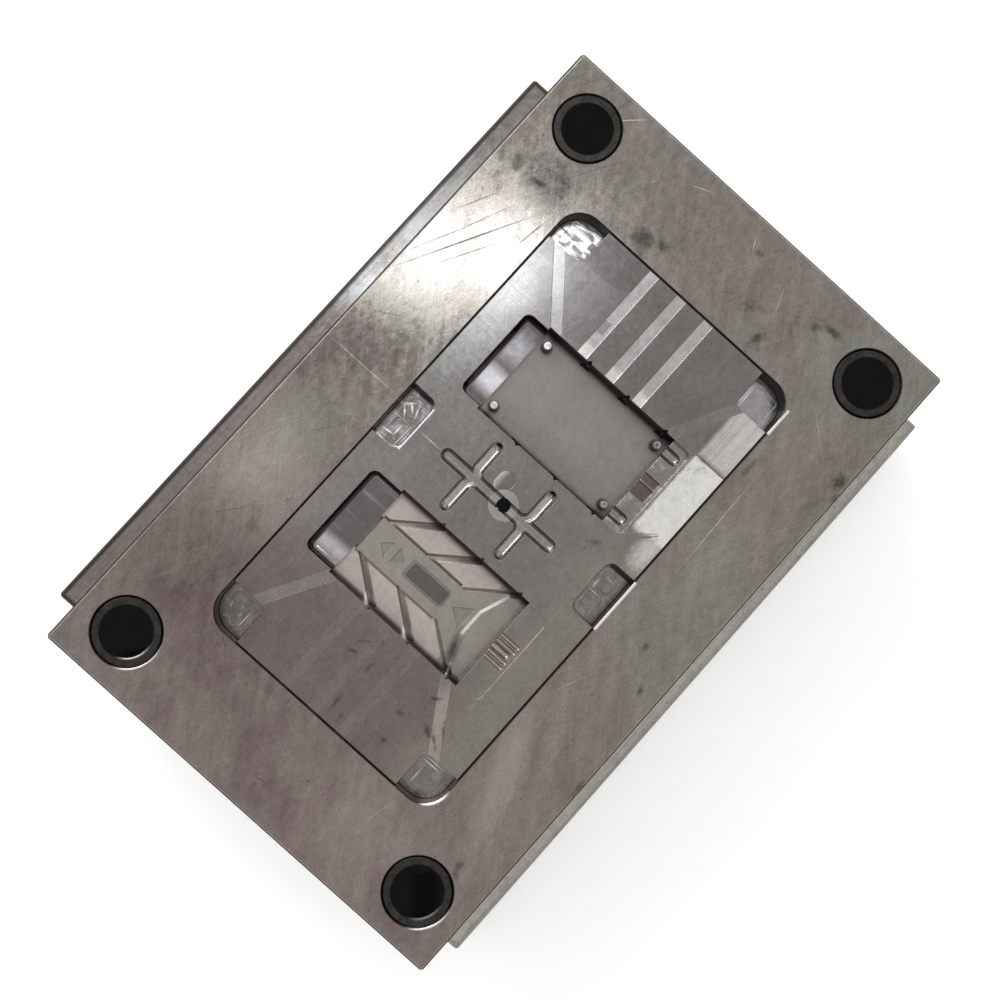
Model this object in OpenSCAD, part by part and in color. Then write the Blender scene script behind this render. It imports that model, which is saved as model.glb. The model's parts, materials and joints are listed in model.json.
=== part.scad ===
// Cavity half of a two-plate injection mould, lying on its locating ring with the parting face up.
// Origin: centre of the locating ring's outer face. X runs along the plates, Z out of the parting face.

/* [Cavity plate] */
// Length of the cavity plate and of the clamp plate behind it
plate_l = 400; // [390:1:460]
// Width of the cavity plate
plate_w = 250; // [245:1:290]
// Thickness of the cavity plate
plate_t = 80; // [70:1:110]
// Chamfer on the outer edges of both plates
plate_chamfer = 1.5; // [0.5:0.1:3]
// Thread drill of the lifting eye holes
eye_d = 14; // [10:0.5:18]
// Depth of the lifting eye holes
eye_depth = 30; // [20:1:35]

/* [Clamp plate] */
// Width of the clamp plate, which overhangs for the machine's clamps
clamp_w = 300; // [295:1:340]
// Thickness of the clamp plate
clamp_t = 25; // [24:1:40]

/* [Locating ring] */
// Outer diameter of the locating ring
ring_d = 100; // [98:1:120]
// Thickness of the locating ring
ring_t = 15; // [13:0.5:16]
// How far the ring stands out of the clamp plate
ring_proud = 10; // [9:0.5:12]
// Diameter of the ring's spigot, which sits in the clamp plate
ring_spigot_d = 98; // [94:0.5:98.5]
// Chamfer at the mouth of the spigot's seat
ring_seat_chamfer = 2; // [1.8:0.1:3]
// Radial clearance round the spigot
ring_gap = 0.05; // [0.02:0.01:0.1]
// Bore of the ring, which the nozzle passes through
ring_bore = 36; // [30:1:37]
// Lead-in chamfer of the ring's outer edge
ring_chamfer = 2; // [0.5:0.1:3]
// Pitch circle of the ring's screws
ring_screw_pcd = 80; // [70:1:84]
// Thread of the ring's screws
ring_screw_d = 6; // [5:1:8]
// Thread length of the ring's screws in the clamp plate
ring_screw_bite = 12; // [8:1:14]

/* [Guide bushes] */
// Distance of the guide bush centres from the cavity plate's ends
guide_end = 28; // [25:0.5:32]
// Distance of the guide bush centres from the cavity plate's long sides
guide_side = 28; // [26:0.5:30]
// Outer diameter of a guide bush
bush_d = 35; // [33:0.5:38]
// Bore of a guide bush
bush_bore = 25; // [20:0.5:26]
// Diameter of the flange at the back of a guide bush
bush_flange_d = 40; // [39:0.5:44]
// Thickness of that flange
bush_flange_t = 8; // [5:0.5:12]
// Length of the bore that guides the pillar
bush_land = 50; // [30:1:60]
// Radial relief of the bore behind that length
bush_relief = 0.5; // [0.3:0.1:1]
// Rounding at the mouth of the bore
bush_mouth = 1.2; // [0.5:0.1:2]
// Chamfer on the outer edge of a guide bush's face
bush_edge = 0.5; // [0.2:0.1:1]
// Chamfer at the mouth of a guide bush's hole in the plate
bush_hole_chamfer = 0.8; // [0.3:0.1:1.2]
// Radial clearance round a guide bush in its hole
bush_gap = 0.02; // [0.01:0.01:0.05]

/* [Cavity insert] */
// Length of the cavity insert
insert_l = 280; // [276:1:290]
// Width of the cavity insert
insert_w = 150; // [148:1:156]
// Thickness of the cavity insert
insert_t = 45; // [42:1:50]
// Clearance between the insert and its pocket
insert_gap = 0.15; // [0.05:0.05:0.3]
// Corner radius of the pocket
pocket_r = 13.5; // [10:0.5:16]
// Chamfer on the edges of the joint between insert and plate
joint_chamfer = 0.4; // [0.2:0.1:0.8]

/* [Interlocks] */
// Length of the corner interlock pockets, along the insert
notch_l = 22.5; // [18:0.5:26]
// Width of the corner interlock pockets, across the insert
notch_w = 22; // [18:0.5:24]
// Length of the mid-side interlock pockets
lock_l = 32; // [26:0.5:38]
// Width of the mid-side interlock pockets
lock_w = 16.5; // [14:0.5:18]
// Depth of the interlock pockets
lock_d = 12; // [8:0.5:14]
// Run of the tapered walls of the interlock pockets over their depth
lock_taper = 1.6; // [0.8:0.1:2.4]
// Corner radius of the interlock pockets
lock_r = 4.5; // [3:0.5:6]
// Depth of the milled step in the floors of the interlock pockets
lock_step = 0.6; // [0.3:0.1:1]
// Length of each of the two steps in a mid-side pocket
lock_step_l = 10.5; // [8:0.5:11.5]
// Rim between that step and the pocket's mouth
lock_rim = 4; // [3:0.5:5]
// Corner radius of that step
lock_step_r = 2; // [1:0.1:3]

/* [Cavities] */
// Distance between the centres of the two cavities
cavity_pitch = 111; // [108:0.5:116]
// Width of the main part of a cavity
cavity_w = 55.6; // [52:0.2:58]
// Length of the main part of a cavity
cavity_l = 85.5; // [82:0.5:88]
// Depth of a cavity
cavity_d = 12; // [10:0.5:13]
// Radius between the floor and the side walls
cavity_r = 4; // [3:0.5:5]
// Width of the polished end bay
bay_w = 52.2; // [48:0.2:52.4]
// Length of the polished end bay of the front cover's cavity
front_bay_l = 18.3; // [12:0.1:22]
// Length of the polished end bay of the back cover's cavity
back_bay_l = 13.7; // [10:0.1:20]

/* [Front cover relief] */
// Width of the spine down the middle of the cover
spine_w = 21; // [18:0.5:24]
// Depth of the spine below the side panels
spine_d = 1; // [0.6:0.1:1.4]
// Width of the slope round the spine
spine_slope = 1.6; // [1:0.1:2.2]
// Space between the spine's head and the end of the main cavity
spine_head_gap = 1.6; // [1:0.1:3]
// Distance between one slanted rib and the next
rib_pitch = 26; // [24:0.5:27]
// Fall of a slanted rib along the cover
rib_fall = 24.5; // [20:0.5:26]
// Space between the first rib and the end of the main cavity
rib_gap = 2.8; // [2:0.1:5]
// Width of a slanted rib
rib_w = 4; // [3:0.1:5]
// Depth of a slanted rib
rib_d = 1.6; // [1:0.1:2]
// How far a rib's tip stands out of the side wall
rib_tip = 1.5; // [0.8:0.1:2]
// How far the ribs of the back cover's cavity run in from its side walls
back_rib_run = 2; // [1:0.1:3.5]
// Width of the display window
window_w = 7.9; // [6:0.1:9]
// Length of the display window
window_l = 23.8; // [20:0.1:25]
// Place of the display window's centre along the cover
window_y = 2; // [0:0.5:3]
// Width of the frame round the display window
window_frame = 1.3; // [0.8:0.1:1.8]
// Depth of the key symbols and of the window's frame
mark_d = 0.5; // [0.3:0.1:0.8]
// Height of the key triangles
key_h = 5.8; // [4:0.1:7]
// Half the base of the key triangles
key_base = 4.7; // [3:0.1:6]
// Place of the up key's base along the cover
key_up_y = 28; // [27:0.5:30]
// Place of the down key's base along the cover
key_down_y = 24; // [22:0.5:25]
// Height of the arrow below the window
arrow_h = 9.4; // [7:0.1:10]
// Half the base of the arrow below the window
arrow_base = 6.7; // [5:0.1:7]
// Space between the crease and the arrow
arrow_gap = 2.4; // [1:0.1:3]
// Corner radius of the window
window_r = 1; // [0.5:0.1:2]
// Height of the crease above the cavity's lower end
crease_y = 15.4; // [14:0.1:17]
// Half the length of the level stretch of the crease
crease_half = 7.7; // [6:0.1:9]

/* [Cable end slots] */
// Width of the shut-off face below the front cover
front_seat_w = 53.4; // [48:0.2:56]
// Length of the shut-off face below the front cover
front_seat_l = 13.5; // [12:0.5:15]
// Depth of that shut-off face
front_seat_d = 0.5; // [0.3:0.1:0.8]
// Width of the recess below the back cover
back_seat_w = 55.4; // [50:0.2:57]
// Length of the recess below the back cover
back_seat_l = 11.4; // [10:0.1:13]
// Depth of that recess
back_seat_d = 4; // [3:0.5:5]
// Corner radius of both
seat_r = 3.5; // [2:0.5:5]
// Clearance between the end of a slot and the end of its seat
slot_end = 1.8; // [1:0.1:3]
// Width of the back cover's outer slots
back_slot_w = 6.4; // [5:0.1:7]
// Distance of the back cover's outer slots from its middle
back_slot_x = 20.5; // [18:0.5:22]
// Width of the left one of the back cover's two flat slots
back_left_slot_w = 7.8; // [6:0.1:8.2]
// Width of the right one of the back cover's two flat slots
back_right_slot_w = 4.4; // [3:0.1:4.8]
// Depth of the flat slots below the recess
back_flat_slot_d = 2.8; // [1.5:0.1:4]
// Width of the ridge between the flat slots
back_slot_ridge = 0.9; // [0.5:0.1:1.4]
// Distance of that ridge from the back cover's middle
back_ridge_x = 1.5; // [0.5:0.1:2]
// Corner radius of the flat slots
flat_slot_r = 0.8; // [0.4:0.1:1.5]
// Width of the front cover's slots
front_slot_w = 2.2; // [1.6:0.1:2.6]
// Width of the front cover's middle slot
front_mid_slot_w = 3.6; // [2.4:0.1:3.8]
// Distance between the front cover's slots
front_slot_pitch = 3.3; // [3.1:0.1:3.6]
// How much shorter the middle one is
front_mid_slot_short = 1.3; // [0:0.1:2]

/* [Core pins] */
// Diameter of a core pin
pin_d = 4.5; // [3:0.1:5]
// Distance between the core pins across the cover
pin_pitch_x = 41; // [38:0.5:43]
// Distance between the core pins along the cover
pin_pitch_y = 75.6; // [70:0.2:77]
// How far the pins stay below the parting face
pin_drop = 4; // [2:0.5:6]
// Diameter of a core pin's head
pin_head_d = 8; // [7:0.5:9]
// Thickness of a core pin's head
pin_head_t = 3; // [2:0.5:5]
// Radial clearance round a core pin
pin_gap = 0.02; // [0.01:0.01:0.05]

/* [Sprue and runners] */
// Diameter of the sprue bush's shank
sprue_d = 16; // [14:0.5:18]
// Diameter of the sprue bush's head
sprue_head_d = 38; // [37:0.5:44]
// Thickness of the sprue bush's head
sprue_head_t = 12; // [10:0.5:13]
// Diameter of the sprue at the parting face
sprue_mouth_d = 7.4; // [6:0.1:8]
// Diameter of the sprue at the nozzle
sprue_nozzle_d = 3.5; // [2.5:0.1:4.5]
// Radius of the nozzle's seat
nozzle_r = 11; // [10:0.5:16]
// Depth of the nozzle's seat
nozzle_d = 4; // [3:0.5:6]
// Radial clearance round the sprue bush
sprue_gap = 0.02; // [0.01:0.01:0.05]
// Diameter of the dowel that stops the sprue bush from turning
dowel_d = 4; // [3:0.5:5]
// Length of that dowel
dowel_l = 12; // [8:0.5:13]
// Distance of that dowel from the sprue
dowel_x = 13.5; // [12:0.5:15]
// Diameter of the main runner
runner_d = 6.9; // [5:0.1:7.2]
// Reach of the main runner on the long side of the sprue
runner_up = 37.9; // [30:0.1:40]
// Reach of the main runner on the short side of the sprue
runner_down = 30.5; // [26:0.1:34]
// Place of the upper pair of branches
branch_up = 21.8; // [20:0.1:24]
// Place of the lower pair of branches
branch_down = 14.8; // [14:0.1:17]
// Diameter of a branch
branch_d = 6.3; // [5:0.1:6.8]
// Reach of a branch from the sprue
branch_reach = 19.4; // [16:0.1:20]
// Radius of the bend between the main runner and a branch
branch_bend = 6.5; // [5:0.1:8]
// Diameter of a tunnel gate at the branch
gate_d = 4; // [3:0.1:5]
// Diameter of a tunnel gate at the cavity
gate_tip_d = 1.2; // [0.8:0.1:2]
// Depth of a tunnel gate's tip below the parting face
gate_drop = 5; // [4:0.5:7]
// Depth of the shallow pad beside the sprue
pad_d = 0.4; // [0.2:0.1:0.8]
// Length of that pad
pad_l = 12; // [9:0.5:14]
// Width of that pad
pad_w = 9.4; // [8.5:0.1:11]
// Corner radius of that pad
pad_r = 4; // [2:0.5:4]
// Place of that pad's centre along the main runner
pad_y = 7.5; // [6:0.5:9]

/* [Vents] */
// Width of a ground vent
vent_w = 6; // [4:0.5:8]
// Depth of a ground vent
vent_d = 0.2; // [0.1:0.1:0.5]
// Distance between the straight vents
vent_pitch = 18.6; // [16:0.2:20]
// Place of the middle straight vent
vent_y = 3; // [0:0.5:5]
// Distance of each slanted vent from its cavity's end: upper left, upper right, lower left, lower right
vent_from = [2.6, 4.6, 7.2, 5.2]; // [2:0.1:10]
// Distance of each slanted vent from the insert's long side, at its corner pocket, in the same order
vent_to = [15, 7.7, 16.5, 19]; // [6:0.1:19]

/* [Cooling] */
// Diameter of the cooling drillings
cool_d = 8; // [6:0.5:9]
// Distance of each cooling drilling from its cavity's centre line
cool_x = 10; // [9.5:0.5:11]
// Distance of the risers and the cross drilling from the insert's long sides
cool_side = 26; // [25.5:0.5:28]
// Height of the insert's drillings above its back
cool_up = 15; // [12:0.5:17]
// Thread drill of the water ports
port_d = 11.8; // [11:0.1:13]
// Depth of the water ports' thread
port_l = 15; // [10:1:20]
// Diameter of a channel plug
plug_d = 10; // [9.5:0.1:11]
// Length of a channel plug
plug_l = 8; // [6:0.5:12]
// How deep a plug sits below the insert's side
plug_sunk = 1; // [0.5:0.1:2]
// Inner diameter of a sealing ring
seal_bore = 10.6; // [10:0.1:12]
// Cord diameter of a sealing ring
seal_cord = 2.6; // [2:0.1:3]
// Depth of a sealing ring's groove, which is the height of the squeezed ring
seal_groove = 2; // [1.6:0.1:2.2]
// Side clearance of a sealing ring in its groove
seal_gap = 0.3; // [0.1:0.1:0.5]

/* [Screws] */
// Thread of the screws that hold the insert
insert_screw_d = 10; // [8:1:10]
// Thread length of those screws in the insert
insert_screw_bite = 18; // [14:1:22]
// Distance of the outer insert screws from the insert's ends
insert_screw_end = 18; // [15:0.5:22]
// Distance of the insert screws from the insert's long sides
insert_screw_side = 15; // [11:0.5:15.5]
// Thread of the screws that hold the clamp plate
clamp_screw_d = 12; // [10:1:14]
// Thread length of those screws in the cavity plate
clamp_screw_bite = 24; // [18:1:28]
// Distance of the clamp screws from the cavity plate's ends
clamp_screw_end = 90; // [70:1:110]
// Distance of the clamp screws from the cavity plate's long sides
clamp_screw_side = 20; // [15:1:25]
// Radial clearance of a screw in its thread
thread_gap = 0.05; // [0.02:0.01:0.1]
// Radial clearance round a screw's shank in a plain hole
shank_gap = 0.6; // [0.4:0.1:1]
// Radial clearance round a screw's head
head_gap = 1; // [0.5:0.1:1.5]
// How deep a screw's head sits below the face
head_sunk = 1; // [0.5:0.1:1.5]

/* [Hidden] */
$fn = 64;
// Fineness of the tapered and rounded pockets
soft_fn = 32;
// How far a cut runs past the face that it opens
over = 1;
// Head of a socket screw, as multiples of its thread
head_w = 1.5;
head_h = 1;
socket_w = 0.85;
socket_h = 0.5;

z_clamp = ring_proud;
z_plate = z_clamp + clamp_t;
z_face = z_plate + plate_t;
z_pocket = z_face - insert_t;
z_ring_seat = ring_t;
z_shoulder = z_ring_seat + sprue_head_t;
z_cool = z_pocket + cool_up;
z_feed = (z_plate + z_pocket) / 2;
cool_y = insert_w / 2 - cool_side;
insert_screw_x = insert_l / 2 - insert_screw_end;
insert_screw_y = insert_w / 2 - insert_screw_side;
clamp_screw_x = plate_l / 2 - clamp_screw_end;
clamp_screw_y = plate_w / 2 - clamp_screw_side;
half_w = cavity_w / 2;
half_l = cavity_l / 2;
rib_run = half_w + rib_tip - spine_w / 2;
rib_start = half_l - rib_gap;
crease_at = crease_y - half_l;
guides = [for (y = [1, -1], x = [-1, 1]) [x * (plate_l / 2 - guide_end), y * (plate_w / 2 - guide_side)]];
pins = [for (y = [1, -1], x = [-1, 1]) [(cavity_pitch + x * pin_pitch_x) / 2, y * pin_pitch_y / 2]];
risers = [for (s = [-1, 1], t = [-1, 1]) [s * cavity_pitch / 2 + t * cool_x, -cool_y]];
insert_screws_at = [for (x = [-1, 0, 1], y = [-1, 1]) [x * insert_screw_x, y * insert_screw_y]];
clamp_screws_at = [for (x = [-1, 1], y = [-1, 1]) [x * clamp_screw_x, y * clamp_screw_y]];
ring_screws_at = [for (x = [-1, 1]) [x * ring_screw_pcd / 2, 0]];

// Shared shapes

module round_rect(l, w, r) {
  square([l - 2 * r, w], center = true);
  square([l, w - 2 * r], center = true);
  for (x = [-1, 1], y = [-1, 1]) translate([x * (l / 2 - r), y * (w / 2 - r)]) circle(r);
}

module chamfered_rect(l, w, c) {
  polygon([
    [c - l / 2, -w / 2], [l / 2 - c, -w / 2], [l / 2, c - w / 2], [l / 2, w / 2 - c],
    [l / 2 - c, w / 2], [c - l / 2, w / 2], [-l / 2, w / 2 - c], [-l / 2, c - w / 2]
  ]);
}

// A plate on z = 0 with every outer edge chamfered
module chamfered_block(l, w, h, c) {
  intersection() {
    linear_extrude(h) chamfered_rect(l, w, c);
    translate([-l / 2, 0, h / 2]) rotate([90, 0, 90]) linear_extrude(l) chamfered_rect(w, h, c);
    translate([0, w / 2, h / 2]) rotate([90, 0, 0]) linear_extrude(w) chamfered_rect(l, h, c);
  }
}

// A profile swept along the straight line from p to q: its x is to the left of the line, its y is up
module swept(p, q) {
  run = q - p;
  translate([p.x, p.y, 0]) rotate(atan2(run.y, run.x)) rotate([90, 0, 90])
    linear_extrude(norm(run)) children();
}

// A half-round channel with ball ends, centred on the line from p to q
module channel(p, q, d) {
  run = q - p;
  translate([p.x, p.y, 0]) rotate([0, 90, atan2(run.y, run.x)]) cylinder(h = norm(run), d = d);
  for (end = [p, q]) translate([end.x, end.y, 0]) sphere(d = d);
}

// The space of a tapered pocket below z = 0, l by w at the mouth
module tapered_pocket(l, w) {
  run = 2 * lock_taper;
  rise = run * over / lock_d;
  translate([0, 0, -lock_d])
    linear_extrude(lock_d + over, scale = [(l + rise) / (l - run), (w + rise) / (w - run)], slices = 1)
      round_rect(l - run, w - run, lock_r, $fn = soft_fn);
}

// A socket head screw standing on its thread's end, with its head up
module cap_screw(d, grip, bite) {
  difference() {
    union() {
      cylinder(h = grip + bite, d = d);
      translate([0, 0, grip + bite]) cylinder(h = head_h * d, d = head_w * d);
    }
    translate([0, 0, grip + bite + (head_h - socket_h) * d])
      cylinder(h = socket_h * d + over, d = socket_w * d / cos(30), $fn = 6);
  }
}

// The holes for that screw: its thread's drilling, its plain hole and the room for its head
module screw_room(d, grip, bite) {
  translate([0, 0, -over]) cylinder(h = bite + over, d = d + 2 * thread_gap);
  translate([0, 0, bite]) cylinder(h = grip, d = d + 2 * shank_gap);
  translate([0, 0, grip + bite])
    cylinder(h = head_h * d + head_sunk + over, d = head_w * d + 2 * head_gap);
}

// Clamp plate

module clamp_plate() {
  color([0.52, 0.50, 0.49])
    difference() {
      translate([0, 0, z_clamp]) chamfered_block(plate_l, clamp_w, clamp_t, plate_chamfer);
      ring_seat();
      translate([0, 0, z_clamp]) cylinder(h = z_shoulder - z_clamp, d = sprue_head_d + 2 * sprue_gap);
      translate([0, 0, z_clamp]) cylinder(h = clamp_t + over, d = sprue_d + 2 * sprue_gap);
      translate([dowel_x, 0, z_shoulder]) cylinder(h = dowel_l / 2, d = dowel_d);
      ring_screw_places() screw_room(ring_screw_d, ring_screw_grip(), ring_screw_bite);
      clamp_screw_places() screw_room(clamp_screw_d, clamp_screw_grip(), clamp_screw_bite);
    }
}

module ring_seat() {
  d = ring_spigot_d + 2 * ring_gap;
  mouth = ring_seat_chamfer + over;
  translate([0, 0, z_clamp - over]) {
    cylinder(h = z_ring_seat - z_clamp + over, d = d);
    cylinder(h = mouth, d1 = d + 2 * mouth, d2 = d);
  }
}

// Cavity plate

module cavity_plate() {
  color([0.53, 0.50, 0.49])
    difference() {
      translate([0, 0, z_plate]) chamfered_block(plate_l, plate_w, plate_t, plate_chamfer);
      insert_pocket();
      for (at = guides) translate([at.x, at.y, z_plate]) {
        translate([0, 0, -over]) cylinder(h = plate_t + 2 * over, d = bush_d + 2 * bush_gap);
        translate([0, 0, -over])
          cylinder(h = bush_flange_t + over, d = bush_flange_d + 2 * bush_gap);
        translate([0, 0, plate_t - bush_hole_chamfer])
          cylinder(h = 2 * bush_hole_chamfer, d1 = bush_d, d2 = bush_d + 4 * bush_hole_chamfer);
      }
      translate([0, 0, z_plate - over]) cylinder(h = plate_t, d = sprue_d + 2 * sprue_gap);
      clamp_screw_places() screw_room(clamp_screw_d, clamp_screw_grip(), clamp_screw_bite);
      insert_screw_places() screw_room(insert_screw_d, insert_screw_grip(), insert_screw_bite);
      for (at = risers) {
        translate([at.x, at.y, z_feed]) {
          cylinder(h = z_pocket - z_feed + over, d = cool_d);
          rotate([90, 0, 0]) cylinder(h = plate_w / 2 + at.y + over, d = cool_d);
        }
        translate([at.x, port_l - plate_w / 2, z_feed]) rotate([90, 0, 0])
          cylinder(h = port_l + over, d = port_d);
        translate([at.x, at.y, z_pocket - seal_groove]) seal_groove_ring();
      }
      for (side = [-1, 1]) translate([0, side * (plate_w / 2 - eye_depth), z_plate + plate_t / 2])
        rotate([-90 * side, 0, 0]) cylinder(h = eye_depth + over, d = eye_d);
    }
}

module insert_pocket() {
  l = insert_l + 2 * insert_gap;
  w = insert_w + 2 * insert_gap;
  translate([0, 0, z_pocket]) linear_extrude(insert_t + over) round_rect(l, w, pocket_r);
  grow = 2 * joint_chamfer;
  translate([0, 0, z_face - joint_chamfer])
    linear_extrude(grow, scale = [(l + 2 * grow) / l, (w + 2 * grow) / w], slices = 1)
      round_rect(l, w, pocket_r, $fn = soft_fn);
}

module seal_groove_ring() {
  inner = seal_bore / 2 - seal_gap;
  rotate_extrude() translate([inner, 0]) square([seal_cord + 2 * seal_gap, seal_groove + over]);
}

// Cavity insert, drawn with its parting face on z = 0

module cavity_insert() {
  color([0.50, 0.48, 0.47])
    translate([0, 0, z_face])
      difference() {
        translate([0, 0, -insert_t])
          linear_extrude(insert_t) round_rect(insert_l, insert_w, pocket_r - insert_gap);
        insert_edges();
        interlocks();
        translate([-cavity_pitch / 2, 0, 0]) front_cavity();
        translate([cavity_pitch / 2, 0, 0]) back_cavity();
        runner();
        for (s = [-1, 1], at = [branch_up, -branch_down]) tunnel_gate(s, at);
        translate([(runner_d + pad_l) / 2 - over / 2, pad_y, -pad_d])
          linear_extrude(pad_d + over) round_rect(pad_l, pad_w, pad_r);
        vents();
        translate([0, 0, -insert_t - over])
          cylinder(h = insert_t + 2 * over, d = sprue_d + 2 * sprue_gap);
        insert_drillings();
      }
}

module insert_edges() {
  c = joint_chamfer * sqrt(2);
  for (s = [-1, 1]) {
    translate([0, s * insert_w / 2, 0]) rotate([45, 0, 0]) cube([insert_l, c, c], center = true);
    translate([s * insert_l / 2, 0, 0]) rotate([0, 45, 0]) cube([c, insert_w, c], center = true);
  }
}

module interlocks() {
  for (x = [-1, 1], y = [-1, 1]) translate([x * insert_l / 2, y * insert_w / 2, 0]) {
    tapered_pocket(2 * notch_l, 2 * notch_w);
    translate([-x * notch_l / 2, -y * notch_w / 2, -lock_d - lock_step])
      linear_extrude(lock_step + over)
        round_rect(notch_l - 2 * lock_rim, notch_w - 2 * lock_rim, lock_step_r);
  }
  for (y = [-1, 1]) translate([0, y * insert_w / 2, 0]) {
    tapered_pocket(lock_l, 2 * lock_w);
    for (x = [-1, 1])
      translate([x * ((lock_l - lock_step_l) / 2 - lock_rim), -y * lock_w / 2, -lock_d - lock_step])
        linear_extrude(lock_step + over) round_rect(lock_step_l, lock_w - 2 * lock_rim, lock_step_r);
  }
}

// The main part of a cavity: a trough with rounded floor edges
module trough() {
  translate([0, half_l, 0]) rotate([90, 0, 0]) linear_extrude(cavity_l) {
    translate([-half_w, cavity_r - cavity_d]) square([cavity_w, cavity_d - cavity_r + over]);
    translate([cavity_r - half_w, -cavity_d]) square([cavity_w - 2 * cavity_r, cavity_r + over]);
    for (s = [-1, 1]) translate([s * (half_w - cavity_r), cavity_r - cavity_d]) circle(cavity_r);
  }
}

// The polished end bay, rounded on three sides, running l past the trough
module end_bay(l) {
  edge = half_l + l - cavity_r;
  hull() for (s = [-1, 1]) translate([s * (bay_w / 2 - cavity_r), 0, 0]) {
    translate([0, edge, cavity_r - cavity_d]) sphere(cavity_r, $fn = soft_fn);
    translate([0, edge, 0]) cylinder(h = over, r = cavity_r, $fn = soft_fn);
    translate([0, half_l - cavity_r, cavity_r - cavity_d]) sphere(cavity_r, $fn = soft_fn);
    translate([0, half_l - cavity_r, 0]) cylinder(h = over, r = cavity_r, $fn = soft_fn);
  }
}

// One slanted rib to the right of the spine, number k, as a groove with one steep flank
module rib(k) {
  top = rib_start - k * rib_pitch;
  swept([spine_w / 2, top], [half_w + rib_tip, top - rib_fall])
    polygon([[0, cavity_r], [0, 0], [-rib_w / 5, -rib_d], [-rib_w, 0], [-rib_w, cavity_r]]);
}

// The tip of a rib, cut into the side wall over its whole height
module rib_point(k) {
  y = rib_start - k * rib_pitch - rib_fall;
  translate([0, 0, -cavity_d]) linear_extrude(cavity_d + over)
    polygon([[half_w - over, y + 2 * rib_tip], [half_w + rib_tip, y], [half_w - over, y - rib_tip]]);
}

// The ribs of both sides between two distances from the cavity's centre line
module ribs(from_x, to_x) {
  for (s = [0, 1]) mirror([s, 0, 0]) {
    intersection() {
      translate([0, 0, -cavity_d]) for (k = [0:2]) rib(k);
      translate([from_x, -half_l, -cavity_d - rib_d]) cube([to_x - from_x, cavity_l, rib_d + cavity_r]);
    }
    for (k = [0:2]) rib_point(k);
  }
}

// The outline of the spine and of the panel that spreads from its foot
function spine_outline() = [
  [-spine_w / 2, half_l - spine_head_gap], [-spine_w / 2, rib_start - 2 * rib_pitch],
  [-half_w, rib_start - 2 * rib_pitch - rib_fall * (half_w - spine_w / 2) / rib_run],
  [-crease_half, crease_at], [crease_half, crease_at],
  [half_w, rib_start - 2 * rib_pitch - rib_fall * (half_w - spine_w / 2) / rib_run],
  [spine_w / 2, rib_start - 2 * rib_pitch], [spine_w / 2, half_l - spine_head_gap]
];

module spine() {
  points = spine_outline();
  difference() {
    union() {
      translate([0, 0, -spine_d]) linear_extrude(spine_d + over) polygon(points);
      for (i = [0:len(points) - 1])
        if (i != 1 && i != 5)
          swept(points[i], points[(i + 1) % len(points)])
            polygon([
              [over, -spine_d], [0, -spine_d], [-spine_slope, 0], [-spine_slope, over], [over, over]
            ]);
    }
    translate([0, window_y, -spine_d - over])
      linear_extrude(spine_d + over) round_rect(window_w, window_l, window_r);
  }
}

module triangle(base, h) {
  translate([0, 0, -mark_d]) linear_extrude(mark_d + over) polygon([[-base, 0], [base, 0], [0, h]]);
}

module front_cavity() {
  trough();
  end_bay(front_bay_l);
  ribs(spine_w / 2, half_w);
  translate([0, 0, -cavity_d]) {
    intersection() {
      spine();
      translate([-half_w, -half_l, -spine_d]) cube([cavity_w, cavity_l, spine_d + over]);
    }
    translate([0, 0, -spine_d]) {
      translate([0, key_up_y, 0]) triangle(key_base, key_h);
      translate([0, key_down_y, 0]) rotate(180) triangle(key_base, key_h);
      translate([0, crease_at + arrow_gap, 0]) triangle(arrow_base, arrow_h);
      window_rim();
    }
  }
  front_seat();
}

module window_rim() {
  translate([0, window_y, -mark_d]) linear_extrude(mark_d + spine_d)
    difference() {
      round_rect(window_w + 2 * window_frame, window_l + 2 * window_frame, window_r + window_frame);
      round_rect(window_w, window_l, window_r);
    }
}

// A flat recess below the trough, w wide and l long
module seat(w, l, d, r) {
  translate([0, r - half_l - l / 2, -d]) linear_extrude(d + over) round_rect(w, l + 2 * r, r);
}

module front_seat() {
  seat(front_seat_w, front_seat_l, front_seat_d, seat_r);
  for (k = [-2:2]) {
    w = k == 0 ? front_mid_slot_w : front_slot_w;
    end = -half_l - front_seat_l + slot_end + (k == 0 ? front_mid_slot_short : 0);
    translate([k * front_slot_pitch, 0, -front_seat_d]) channel([0, -half_l + over], [0, end + w / 2], w);
  }
}

module back_seat() {
  seat(back_seat_w, back_seat_l, back_seat_d, seat_r);
  end = -half_l - back_seat_l + slot_end;
  for (s = [-1, 1]) translate([s * back_slot_x, 0, -back_seat_d])
    channel([0, -half_l + over], [0, end + back_slot_w / 2], back_slot_w);
  translate([back_ridge_x - (back_slot_ridge + back_left_slot_w) / 2, 0, 0])
    seat(back_left_slot_w, back_seat_l - slot_end, back_seat_d + back_flat_slot_d, flat_slot_r);
  translate([back_ridge_x + (back_slot_ridge + back_right_slot_w) / 2, 0, 0])
    seat(back_right_slot_w, back_seat_l - slot_end, back_seat_d + back_flat_slot_d, flat_slot_r);
}

module back_cavity() {
  trough();
  end_bay(back_bay_l);
  ribs(half_w - back_rib_run, half_w);
  back_seat();
}

module runner() {
  channel([0, -runner_down], [0, runner_up], runner_d);
  for (s = [-1, 1]) {
    branch(s, branch_up, 1);
    branch(s, -branch_down, -1);
  }
}

// A branch on side s at place y, bending into the main runner on the side towards the sprue
module branch(s, y, up) {
  channel([s * branch_bend, y], [s * branch_reach, y], branch_d);
  translate([s * branch_bend, y - up * branch_bend, 0])
    mirror([s > 0 ? 1 : 0, 0, 0]) mirror([0, up > 0 ? 0 : 1, 0])
      rotate_extrude(angle = 90) translate([branch_bend, 0]) circle(d = branch_d);
}

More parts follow.
